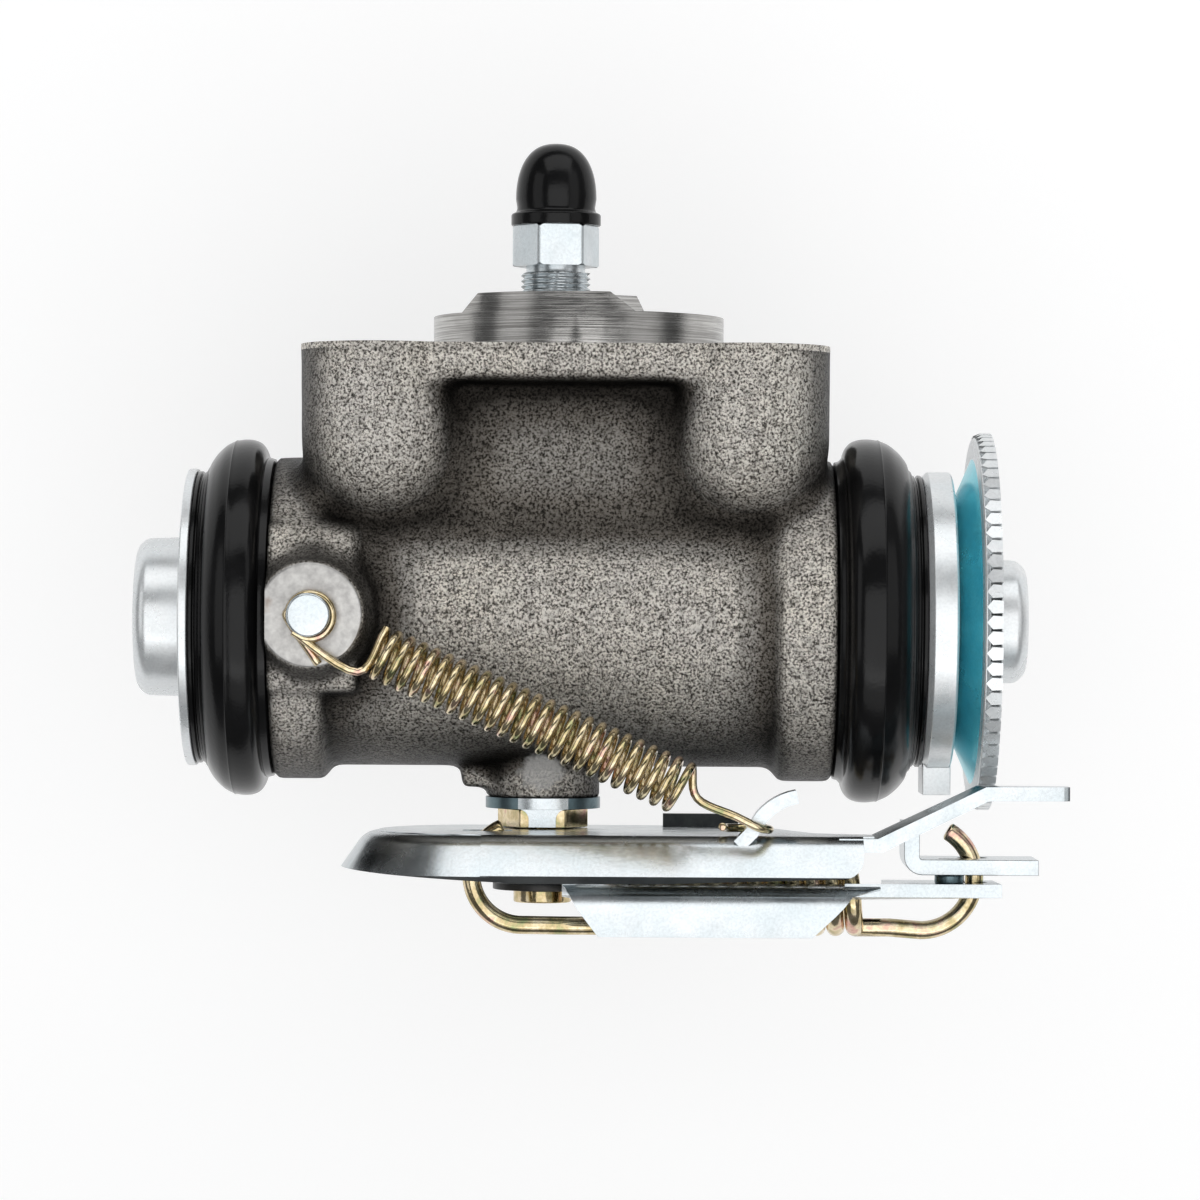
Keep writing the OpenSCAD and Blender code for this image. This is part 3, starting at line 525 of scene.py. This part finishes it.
def casting_mask(co):
    """How far each point, in millimetres, belongs to the rough casting rather than a machined face."""
    x, y, z = co.T
    ring = np.hypot(y, z - AXIS_Z)
    free = soft_step(-z, 0.8, 2.4)
    free *= soft_step(x, END_L + 0.4, END_L + 1.8) * soft_step(-x, -END_R + 0.4, -END_R + 1.8)
    free *= soft_step(ring, BORE_R + 0.6, BORE_R + 2.0)
    boss_x, boss_y, boss_z = SPRING_BOSS
    on_boss = np.hypot(x - boss_x, z - boss_z) < SPRING_BOSS_R + 2
    free *= 1 - (1 - soft_step(y, boss_y + 0.5, boss_y + 1.6)) * on_boss
    return free * soft_step(z, BOSS_Z + 0.5, BOSS_Z + 1.6)


def to_neighbours(co, edges):
    """The way from each point to the mean of its neighbours."""
    count = np.bincount(edges.ravel(), minlength=len(co)).astype(float)[:, None]
    total = np.zeros_like(co)
    for axis in range(3):
        total[:, axis] = (np.bincount(edges[:, 0], co[edges[:, 1], axis], len(co))
                          + np.bincount(edges[:, 1], co[edges[:, 0], axis], len(co)))
    return total / count - co


def smoothed(co, edges, weight, steps):
    """Moves points along the way to their neighbours, by one share after the other.
    Shares that change sign keep the form from shrinking."""
    for step in steps:
        co = co + step * weight[:, None] * to_neighbours(co, edges)
    return co


def soft_skin(co, edges):
    """Points of the casting with soft fillets, softest round the lugs and the neck."""
    mask = casting_mask(co)
    x, z = co[:, 0], co[:, 2]
    upper = soft_step(z, -35.0, -29.0)
    collars = np.maximum(soft_step(-x, 28.0, 31.0), soft_step(x, 23.0, 26.0))
    saddle = mask * upper * soft_step(-z, 5.5, 9.0)
    mask = mask * (upper + (1 - upper) * (0.30 - 0.18 * collars))
    co = smoothed(co, edges, mask, DRAWN * 22)
    co = smoothed(co, edges, saddle, DRAWN * 16)
    co = smoothed(co, edges, np.maximum(mask, 0.25), RELAXED * 5)
    co[:, 2] = np.minimum(co[:, 2], SKIN_TOP)
    return co


def rows_of(items, name, width, kind=float):
    """A property of a mesh's points or edges, one row for each."""
    values = np.empty(len(items) * width, dtype=kind)
    items.foreach_get(name, values)
    return values.reshape(-1, width)


def mark(mesh, name, values):
    """Stores one number for each point of a mesh."""
    layer = mesh.attributes.new(name, "FLOAT", "POINT")
    layer.data.foreach_set("value", values.astype(np.float32))


def mark_painted_shade(mesh, co, edges):
    """Stores how deep each point lies in a hollow of the casting and how far it faces
    the front or the back, for painted shade in the hollows and on the flanks and a painted highlight on the
    crowns."""
    normals = rows_of(mesh.vertices, "normal", 3)
    even = np.ones(len(co))
    level = smoothed(co, edges, even, DRAWN * 150)
    depth = ((level - co) * normals).sum(axis=1)
    depth = smoothed(depth[:, None].repeat(3, axis=1), edges, even, DRAWN * 4)[:, 0]
    facing = np.abs(smoothed(normals, edges, even, DRAWN * 4)[:, 1])
    # hollow: painted shade where near 1, painted highlight where near 0; flank: painted shade where near 0.
    mark(mesh, "hollow", np.clip(0.5 + depth / 3.0, 0, 1))
    mark(mesh, "flank", np.clip(facing, 0, 1))


def casting():
    """The casting's skin with soft fillets."""
    rough = copied("cast_body", "casting_rough")
    remesh = rough.modifiers.new("voxels", "REMESH")
    remesh.mode = "VOXEL"
    remesh.voxel_size = VOXEL * MM
    mesh = applied(rough)
    edges = rows_of(mesh.edges, "vertices", 2, np.int32)
    co = soft_skin(rows_of(mesh.vertices, "co", 3) / MM, edges)
    mesh.vertices.foreach_set("co", (co * MM).ravel())
    mesh.update()
    piece = finish_piece("casting", mesh, 80)
    mark_painted_shade(mesh, co, edges)
    dress(piece, "iron", ["cast_body"], "cylinder")


def keep_top(bm):
    geometry = bm.verts[:] + bm.edges[:] + bm.faces[:]
    bmesh.ops.bisect_plane(bm, geom=geometry, plane_co=(0, 0, TOP_SLICE * MM), plane_no=(0, 0, 1),
                           clear_inner=True)


def cast_side(c, normal, area):
    """Outer side of the flange, below the machined top."""
    return c.z < -0.1 and normal.z < 0.5


def machined_top():
    """The casting's machined top as a crisp slice."""
    piece = copied("cast_body", "casting_top_cut")
    edit(piece.data, keep_top)
    mesh = rounded(piece, 0.3, 2, 40)
    piece = dress(finish_piece("machined_top", mesh, 40), "turned", (), "cylinder")
    # Fixed values that give the flange's outer side the painted-light level of the casting's crowns, barely
    # shaded as a flank.
    for name, value in (("hollow", 0.2), ("flank", 0.9)):
        mark(mesh, name, np.full(len(mesh.vertices), value))
    paint_faces(piece, "iron", cast_side)


def spring_boss_face():
    """Spot face round the spring's pin, cut off at the casting's end."""
    x, y, z = SPRING_BOSS
    profile = fillet([(0.9, SPRING_BOSS_R + 0.1), (0.0, SPRING_BOSS_R - 0.1), (-0.02, PIN_R + 0.1),
                      (1.0, PIN_R + 0.05)], 0.35)
    verts, faces = lathe(profile, lambda u, a, b: (max(x + a, END_L + 0.05), y + u, z + b), 192)
    dress(new_piece("spring_boss_face", verts, faces), "spot", (), "cylinder")


# Bleed screw and cap

BLEED_Y = -5.0
THREAD_R = 5.0
THREAD_PITCH = 0.8
THREAD_DEPTH = 0.42
THREAD_Z = (-3.95, 10.75)
HEX_Z = 11.7
HEX_TOP = 17.5
HEX_AF = 11.0
HEX_TURN = math.radians(8.5)
CAP_Z = 17.55
CAP_TOP = 29.4
CAP_R = 5.8
CAP_HOLE_R = 3.75


def on_bleeder(u, a, b):
    """Place on the bleeder's axis."""
    return MID_X + a, BLEED_Y + b, u


def thread(rows=10, segments=96):
    """Side of the bleeder's thread as a height field round its axis."""
    low, high = THREAD_Z
    count = int((high - low) / THREAD_PITCH * rows)
    verts = []
    for i in range(count + 1):
        z = low + (high - low) * i / count
        for k in range(segments):
            g = angle(k, segments)
            phase = (z / THREAD_PITCH - k / segments) % 1.0
            groove = min(1.0, max(0.0, (abs(phase - 0.5) * 2 - 0.12) / 0.76))
            r = THREAD_R - THREAD_DEPTH * groove
            verts.append(on_bleeder(z, r * math.cos(g), r * math.sin(g)))
    return verts, ring_faces(count + 1, segments)


def hex_side(levels=7, segments=192):
    """Hex with the round chamfers of a turned blank."""
    corner = HEX_AF / math.sqrt(3)
    rows = [(0.0, True)] + [(t, False) for t in np.linspace(0, 1, levels)] + [(1.0, True)]
    verts = []
    for t, is_end in rows:
        for k in range(segments):
            g = angle(k, segments)
            flat = HEX_AF / 2 / math.cos((g - HEX_TURN) % (math.pi / 3) - math.pi / 6)
            r = min(flat, 0.985 * corner) * (0.90 if is_end else 1.0)
            chamfer = 0.0 if is_end else 1.1 * max(0.0, flat - 0.955 * corner)
            z = HEX_Z + chamfer + (HEX_TOP - HEX_Z - 2 * chamfer) * t
            verts.append(on_bleeder(z, r * math.cos(g), r * math.sin(g)))
    return verts, ring_faces(len(rows), segments) + end_faces(len(rows), segments)


def bleeder():
    tip = lathe([(-7.0, 0), (-7.0, 1.8), (-4.0, 4.6), (-3.9, 4.6)], on_bleeder, 64)
    neck = lathe([(10.7, 4.35), (11.0, 4.25), (11.8, 4.25)], on_bleeder, 96)
    nipple = fillet([(HEX_TOP - 0.1, 3.0), (20.7, 3.0), (20.7, 3.5), (23.7, 2.7), (25.3, 2.6), (25.3, 1.0),
                     (20.0, 1.0)], 0.3)
    verts, faces = join(tip, thread(), neck, hex_side(), lathe(nipple, on_bleeder, 64))
    dress(new_piece("bleeder_screw", verts, faces, 28), "zinc", ["bleed_screw"], "bleeder")


def cap():
    shoulder = CAP_Z + 3.85
    dome = [(shoulder + (CAP_TOP - shoulder) * math.sin(g) ** 0.92, CAP_R * math.cos(g) ** 0.8)
            for g in np.linspace(0, math.pi / 2, 30)]
    dome[-1] = (CAP_TOP, 0.0)
    rim = fillet([(CAP_Z, CAP_HOLE_R), (CAP_Z, CAP_R + 0.65), (CAP_Z + 1.7, CAP_R + 0.65),
                  (CAP_Z + 1.95, CAP_R - 0.05), (CAP_Z + 2.6, CAP_R - 0.2)], 0.3, 5)
    hole = [(CAP_Z, CAP_HOLE_R), (CAP_Z + 8.6, CAP_HOLE_R - 0.1), (CAP_Z + 8.6, 0.0)]
    verts, faces = join(lathe(rim + dome, on_bleeder, 96), lathe(hole, on_bleeder, 48))
    dress(new_piece("dust_cap", verts, faces, 60), "rubber", ["bleed_cap"], "cap")


# Boots

BOOT_L = 11.3
BOOT_R = 25.75
BOOT_LIP = 1.9
BOOT_HOLE_R = 13.1
BOOT_BULGE = [(1.25, 23.1), (1.4, 23.8), (1.75, 24.6), (2.4, 25.3), (3.4, 25.68), (4.6, 25.75), (5.6, 25.62),
              (5.8, 25.66), (6.0, 25.52), (7.2, 24.9), (8.3, 23.9), (9.0, 23.0), (9.35, 22.4)]


def boot_profile(length, radius):
    """Closed outline of a boot: (distance from the body's end, radius)."""
    stretch, grow = length / BOOT_L, radius - BOOT_R
    outer = [(0.06, NOSE_R + 0.1), (0.06, 22.4), (0.3, 22.95), (0.9, 23.1)]
    bulge = smooth_path([(u * stretch, r + grow, 0) for u, r in BOOT_BULGE], 4)
    outer += [(p.x, p.y) for p in bulge]
    u = length - BOOT_LIP
    lips = fillet([(u + 0.02, 21.9), (u + 0.35, 21.75), (u + 0.5, 21.15), (u + 0.85, 21.1), (u + 0.95, 20.5),
                   (u + 1.2, 20.5), (u + 1.3, 21.15), (length, 21.1), (length, BOOT_HOLE_R)], 0.16, 3)
    fold_u, fold_r, fold = 0.5 * length - 0.3, radius - 4.4, 2.9
    inner = [(u + 0.1, BOOT_HOLE_R), (u + 0.1, fold_r - 0.6)]
    inner += [(fold_u - fold * math.cos(g), fold_r + fold * math.sin(g))
              for g in np.linspace(math.radians(170), math.radians(12), 20)]
    return outer + lips + inner + [(1.9, NOSE_R + 0.05)]


def boots():
    for name, node, x, side, length, radius, body in (
            ("boot_fixed_end", "left_boot", END_L, -1, BOOT_L, BOOT_R, "left_plunger"),
            ("boot_adjuster_end", "right_boot", END_R, 1, 12.8, 26.3, "right_plunger")):
        verts, faces = lathe(boot_profile(length, radius), along_bore(x, side), 192, True)
        start = (x + side * 1.8, 0, AXIS_Z)
        end = (x + side * (length - BOOT_LIP), 0, AXIS_Z)
        dress(new_piece(name, verts, faces, 50), "rubber", [node], None, ("cylinder", body, start, end))


# Turned pieces

DISC_X = END_L - 11.4
DISC_R = 21.5
DISC_T = 1.3
STEM_R = 13.0
SPIGOT_R = 8.0
HEAD_R = 11.4
HEAD_REACH = 8.7
HEAD_CHAMFER = 1.3
SCREW_R = 7.0
SCREW_X = 29.8
SCREW_HEAD_R = 8.9
SCREW_HEAD_X = 59.9
SCREW_END = 64.9
SCREW_CHAMFER = 1.4
SLEEVE_R = 10.0
SLEEVE_X = (40.9, 59.55)
FIT = 0.05


def plain_tappet():
    """Shoe seat of the fixed end: a disc with a head, a stem and a spigot."""
    face, end = DISC_X - DISC_T, DISC_X - HEAD_REACH
    disc = fillet([(DISC_X, STEM_R), (DISC_X, DISC_R), (face, DISC_R), (face, HEAD_R), (end, HEAD_R),
                   (end, 0.0)], 0.28)
    crown = fillet([(face, HEAD_R), (end + HEAD_CHAMFER, HEAD_R), (end, HEAD_R - HEAD_CHAMFER),
                    (end, 0.0)], 0.9, 6)
    outline = [p for p in disc if p[0] > face - 0.01 or p[1] > HEAD_R + 0.1] + crown[1:]
    stem = [(END_L + 1.0, 0.0), (END_L + 1.0, STEM_R), (DISC_X, STEM_R)]
    spigot = [(END_L + 8.8, 0.0), (END_L + 8.8, SPIGOT_R), (END_L + 0.5, SPIGOT_R)]
    verts, faces = join(lathe(stem + outline, along_bore(), 160), lathe(spigot, along_bore(), 64))
    dress(new_piece("plain_tappet", verts, faces, 30, True), "pale", ["fixed_tappet"], "left_plunger")


def screw_tappet():
    head = fillet([(SCREW_X, 0.0), (SCREW_X, SCREW_R), (SCREW_HEAD_X, SCREW_R), (SCREW_HEAD_X, SCREW_HEAD_R),
                   (SCREW_END - SCREW_CHAMFER, SCREW_HEAD_R), (SCREW_END, SCREW_HEAD_R - SCREW_CHAMFER),
                   (SCREW_END, 0.0)], 0.7, 5)
    verts, faces = lathe(head, along_bore())
    dress(new_piece("screw_tappet", verts, faces, 30, True), "pale", ["adjuster_screw"], "screw")


def threaded_sleeve():
    left, right = SLEEVE_X
    bore = SCREW_R + FIT
    sleeve = fillet([(left, bore), (left, SLEEVE_R), (right, SLEEVE_R), (right, bore)], 0.3, 3, True)
    verts, faces = lathe(sleeve, along_bore(), 128, True)
    dress(new_piece("threaded_sleeve", verts, faces, 30, True), "zinc", ["adjuster_nut"], "wheel")


def spring_pin():
    x, y, z = SPRING_BOSS
    neck, top, head_r = -3.2, -4.4, 3.05
    pin = fillet([(6.0, 0.0), (6.0, PIN_R), (neck, PIN_R), (neck, head_r), (top, head_r), (top, 0.0)], 0.4, 5)
    verts, faces = lathe(pin, lambda u, a, b: (x + a, y + u, z + b), 64)
    dress(new_piece("spring_pin", verts, faces, 30), "zinc", ["anchor_pin"], "cylinder")


# Springs

def coil(a, b, radius, turns, per, hand):
    """Points of a coil from a to b, wound to one hand."""
    side = Vector((0, 1, 0))
    up = side.cross((b - a).normalized()) * hand
    points = []
    for i in range(turns * per + 1):
        g = angle(i, per) - math.pi / 2
        points.append(a + (b - a) * (i / (turns * per)) + (side * math.cos(g) + up * math.sin(g)) * radius)
    return points


def arc(centre, radius, start, sweep, steps):
    """Points of an arc in an upright plane, its angles in degrees."""
    x, y, z = centre
    turns = [math.radians(start + sweep * i / steps) for i in range(steps + 1)]
    return [Vector((x + radius * math.cos(g), y, z + radius * math.sin(g))) for g in turns]


def return_spring():
    """Extension spring from the pin on the casting to the tab on the upper lever."""
    wire, outer = 1.2, 8.0
    px, py, pz = SPRING_BOSS
    a, b = Vector((px + 9.4, py - 1, AXIS_Z - 4.5)), Vector((14.9, py - 1, LEVER_TOP + 6.9))
    turns = coil(a, b, (outer - wire) / 2, 24, 26, 1)
    steps, drift = 14, 1.5
    loop = arc((px + 0.2, py - 0.8, pz - 0.2), PIN_R + wire / 2 + 0.3, 190, -320, steps)
    loop = [p - Vector((0, drift * i / steps, 0)) for i, p in enumerate(loop)]
    tail = Vector((px + 1.4, py - 0.8, pz - 6.9))
    tab = Vector((22.2, -21.2, LEVER_TOP))
    hook = [tab + Vector(q) for q in (
        (0.1, -6.6, 3), (3.2, -6.2, 1.5), (4.6, -4.6, 1.1), (5.1, -2, 1), (4.7, 0.6, 1),
        (2.8, 2, 1), (0.4, 1.8, 1), (-1.2, -0.2, 1.1), (-1.6, -3.4, 1.4))]
    path = (smooth_path([tail] + loop + [a + Vector((-2.6, 0.2, -2.9)), turns[0]]) + turns[1:-1]
            + smooth_path([turns[-1], b + Vector((2.1, -0.4, -1.4))] + hook))
    verts, faces = tube(path, wire / 2, 12)
    dress(new_piece("lever_return_spring", verts, faces, 60), "gold", ["return_spring"], None,
          ("cylinder", "upper_lever", a, b))


def overload_spring():
    """Extension spring between the two levers, with open hooks in one upright plane."""
    wire, radius, y = 2.7, 4.85, -10.0
    z = LEVER_TOP - SHEET - 0.5 - radius - wire / 2
    a, b = Vector((4.4, y, z)), Vector((END_R + 3.2, y, z))
    hook_z = z + 2.4
    path = arc((-7.65, y, hook_z), 7.2, 112, 158, 40)
    path.append(Vector((-2.0, y, z - radius)))
    path += coil(a, b, radius, 13, 30, -1)
    path.append(Vector((END_R + 8.0, y, z - radius)))
    path += arc((END_R + 12.6, y, hook_z), 7.6, -90, 151, 40)
    verts, faces = tube(path, wire / 2 - 0.03, 18)
    dress(new_piece("lever_overload_spring", verts, faces, 60), "gold", ["overload_spring"], None,
          ("upper_lever", "lower_lever", a, b))


# Star wheel

WHEEL_R = 27.3
WHEEL_ROOT_R = 26.1
WHEEL_WEB_R = 23.6
WHEEL_TEETH = 78
WHEEL_HUB_X = 54.2
WHEEL_RIM_X = 57.1
WHEEL_BACK_X = 59.6
WHEEL_SHEET = 1.7
DISH_R = 17.0


def wheel_radius(c):
    return math.hypot(c.y, c.z - AXIS_Z)


def wheel_cone(c, normal, area):
    """Front of the wheel's dished web, inside its rim."""
    return -0.97 < normal.x < -0.2 and wheel_radius(c) < WHEEL_WEB_R + 0.3


def tooth_gap(c, normal, area):
    """Floor between the wheel's teeth, painted dark as shade."""
    return abs(normal.x) < 0.3 and abs(wheel_radius(c) - WHEEL_ROOT_R) < 0.1


def tooth(number):
    """One tooth, pointed towards the wheel's front. A corner of its outline is its place on
    the axis, its turn as a share of the pitch and its drop below the tip circle."""
    outline = ((WHEEL_RIM_X + 0.2, 0.0, 0.35), (WHEEL_RIM_X + 1.0, 0.43, 0.0), (WHEEL_BACK_X, 0.39, 0.0),
               (WHEEL_BACK_X, -0.39, 0.0), (WHEEL_RIM_X + 1.0, -0.43, 0.0))
    verts = []
    for radius, share in ((WHEEL_ROOT_R - 0.3, 0.0), (WHEEL_R - 0.02, 1.0)):
        for x, turn, drop in outline:
            g = angle(number + turn, WHEEL_TEETH)
            r = radius - drop * share
            verts.append((x, r * math.cos(g), AXIS_Z + r * math.sin(g)))
    return verts, ring_faces(2, len(outline)) + end_faces(2, len(outline))


def star_wheel():
    hub_r, hub_back = SLEEVE_R + FIT, WHEEL_HUB_X + WHEEL_SHEET
    web = [(WHEEL_HUB_X, hub_r), (WHEEL_HUB_X, DISH_R), (WHEEL_RIM_X, WHEEL_WEB_R),
           (WHEEL_RIM_X, WHEEL_R - 0.9), (WHEEL_RIM_X + 0.25, WHEEL_R - 0.6),
           (WHEEL_RIM_X + 0.7, WHEEL_ROOT_R), (WHEEL_BACK_X, WHEEL_ROOT_R),
           (WHEEL_BACK_X, WHEEL_WEB_R + 0.2), (hub_back, DISH_R - 0.8), (hub_back, hub_r)]
    body = lathe(fillet(web, 0.35, 3, True), along_bore(), 2 * WHEEL_TEETH, True)
    verts, faces = join(body, *[tooth(k) for k in range(WHEEL_TEETH)])
    piece = dress(new_piece("toothed_wheel", verts, faces, 30, True), "pale", ["star_wheel"], "wheel")
    paint_faces(piece, "teal", wheel_cone)
    paint_faces(piece, "cut", tooth_gap)


# Sheet and other pieces kept from the CAD model

BESIDE_WHEEL = END_R + 3
RIM_AREA = 2.5
TRIP_BEND = (-20.0, -81.2)
BEND_POWER = 5


def arm_slope(c, normal, area):
    """Upper side of the arm's slope, painted dark as a reflection."""
    return c.x > BESIDE_WHEEL and normal.z > 0.6 and normal.x < -0.3 and area >= RIM_AREA


def lever_edge(c, normal, area):
    """Lower sheared edge of the upper lever's front flange, and the lip at its back, painted near-black as
    shade.
    """
    edge = normal.z < -0.33 and normal.y < -0.3 and c.z < LEVER_TOP - 4
    return edge or (c.y > 5.5 and c.z > LEVER_TOP + 0.05 and 12 < c.x < 25)


def sheet_rim(c, normal, area):
    """Rounded edges of the sheets beside the wheel, and of the spring's tab, painted grey as shade."""
    edge = max(abs(k) for k in normal) < 0.93 and area < RIM_AREA
    return edge and (c.x > BESIDE_WHEEL or (20 < c.x < 32 and c.z > LEVER_TOP + 0.3 and c.y < 0))


def plate_edge(c, normal, area):
    """All of the lock plate but its tab's front, painted dark as shade."""
    return not (normal.y < -0.8 and abs(c.x - PIVOT_X) < 3.6 and c.z < BOSS_Z - 0.5)


def tighten_bend(piece):
    """Draws the bend of the lower lever's front flange towards a square corner."""
    y0, z0 = TRIP_BEND
    for vertex in piece.data.vertices:
        y, z = y0 - vertex.co.y / MM, vertex.co.z / MM - z0
        if y > 0 and z > 0:
            size = math.hypot(y, z)
            grow = ((y / size) ** BEND_POWER + (z / size) ** BEND_POWER) ** (-1 / BEND_POWER)
            vertex.co.y, vertex.co.z = (y0 - y * grow) * MM, (z0 + z * grow) * MM


def sheet_pieces():
    # Faces painted as shade: the lever's lower edge and lip, the sheets' edges, the arm's slope and the lock
    # plate.
    painted = {"adjuster_lever": (("cut", lever_edge), ("rim", sheet_rim), ("shade", arm_slope)),
               "trip_lever": (("rim", sheet_rim),),
               "drive_dog": (("rim", sheet_rim),),
               "lock_plate": (("shade", plate_edge),)}
    for node, name, look, width, body in (
            ("adjuster_lever", "upper_lever_sheet", "zinc", 0.3, "upper_lever"),
            ("trip_lever", "lower_lever_sheet", "zinc", 0.3, "lower_lever"),
            ("drive_dog", "dog_sheet", "zinc", 0.3, "lower_lever"),
            # The dog's rivet is painted dark as shade between the tongues.
            ("dog_rivet", "dog_rivet_round", "shade", 0.25, "lower_lever"),
            ("lock_plate", "lock_plate_sheet", "zinc", 0.2, "cylinder"),
            ("pivot_stud", "hex_stud", "gold", 0.25, "cylinder"),
            ("pivot_bush", "stud_bush", "steel", 0.25, "cylinder"),
            ("pivot_clip", "stud_clip", "black", 0.15, "cylinder"),
            ("adjuster_collar", "collar_flange", "pale", 0.25, "right_plunger")):
        piece = dress(refined(node, name, width), look, [node], body)
        for other, chosen in painted.get(node, ()):
            paint_faces(piece, other, chosen)
        if node == "trip_lever":
            tighten_bend(piece)


def inner_pieces():
    """Materials of the nodes inside the bore, which show as they are."""
    for node, look in (("left_piston", "steel"), ("right_piston", "steel"), ("left_cup", "rubber"),
                       ("right_cup", "rubber"), ("left_spreader", "steel"), ("right_spreader", "steel"),
                       ("centre_spring", "steel")):
        mesh = NODES[node].data
        mesh.materials.clear()
        mesh.materials.append(MATERIALS[look])


# Stage, its places and sizes in metres

WALL_Y = 0.08
WALL_HALF = 1.2
WALL_GREY = 0.56
WALL_GLOW = 0.54
SKY_LIGHT = 0.15
SKY_COLOUR = (0.96, 0.98, 1.0, 1)
CAMERA_LENS = 144
CAMERA_AT = (0.0033, -0.696, -0.0362)
CAMERA_ROLL = math.radians(-0.35)
LAMP_AIM = Vector((0, 0, -0.035))
LAMPS = (
    ("front_box", (0.10, -0.95, -0.20), (1.12, 1.12), 5.8),
    ("low_box", (0.1, -0.60, -0.62), (0.9, 0.4), 0.9),
    ("top_box", (0.05, -0.30, 0.52), (0.8, 0.4), 1.5),
    ("left_box", (-0.55, -0.4, 0.05), (0.35, 0.7), 0.6),
    ("right_box", (0.55, -0.4, 0.1), (0.35, 0.7), 0.5),
)


def seen(n):
    """One for the rays that show a background, else nought."""
    rays = n.add("ShaderNodeLightPath").outputs
    value = n.math("MAXIMUM", rays["Is Camera Ray"], rays["Is Glossy Ray"])
    return n.math("MAXIMUM", value, rays["Is Transmission Ray"])


def wall_material():
    """Pale wall that glows only where it is seen, and is clear from behind."""
    n = Nodes("pale_wall")
    n.set(Base_Color=(WALL_GREY,) * 3, Roughness=0.9, Specular_IOR_Level=0.0, Emission_Color=(1, 1, 1),
          Emission_Strength=n.math("MULTIPLY", seen(n), WALL_GLOW))
    choose = n.add("ShaderNodeMixShader", Fac=n.add("ShaderNodeNewGeometry").outputs["Backfacing"])
    n.put(n.shader.outputs["BSDF"], choose.inputs[1])
    n.put(n.add("ShaderNodeBsdfTransparent").outputs["BSDF"], choose.inputs[2])
    n.put(choose.outputs["Shader"], n.tree.nodes["Material Output"].inputs["Surface"])
    return n.material


def backdrop():
    """White wall behind the part, seen from its front only, that keeps a soft shadow."""
    corners = ((-1, -1), (1, -1), (1, 1), (-1, 1))
    mesh = bpy.data.meshes.new("backdrop")
    mesh.from_pydata([(a * WALL_HALF, WALL_Y, b * WALL_HALF) for a, b in corners], [], [[0, 1, 2, 3]])
    piece = linked("backdrop", mesh)
    piece.visible_shadow = False
    piece.data.materials.append(wall_material())


def world():
    scene = bpy.context.scene
    scene.world = bpy.data.worlds.new("studio")
    scene.world.use_nodes = True
    back = scene.world.node_tree.nodes["Background"]
    back.inputs["Strength"].default_value = SKY_LIGHT
    back.inputs["Color"].default_value = SKY_COLOUR


def lamp(name, place, size, power):
    data = bpy.data.lights.new(name, "AREA")
    data.shape = "RECTANGLE"
    data.size, data.size_y = size
    data.energy = power
    light = linked(name, data)
    light.location = place
    light.rotation_euler = (LAMP_AIM - Vector(place)).to_track_quat("-Z", "Y").to_euler()


def camera():
    data = bpy.data.cameras.new("front")
    data.sensor_width = 36
    data.lens = CAMERA_LENS
    data.clip_start = 0.01
    eye = linked("front", data)
    eye.matrix_world = (Matrix.Translation(CAMERA_AT) @ Matrix.Rotation(CAMERA_ROLL, 4, "Y")
                        @ Matrix.Rotation(math.pi / 2, 4, "X"))
    bpy.context.scene.camera = eye


camera()
casting()
machined_top()
spring_boss_face()
bleeder()
cap()
boots()
plain_tappet()
screw_tappet()
threaded_sleeve()
spring_pin()
return_spring()
overload_spring()
star_wheel()
sheet_pieces()
inner_pieces()
backdrop()
world()
for settings in LAMPS:
    lamp(*settings)
bpy.context.scene.view_settings.view_transform = "Standard"
bpy.context.view_layer.update()
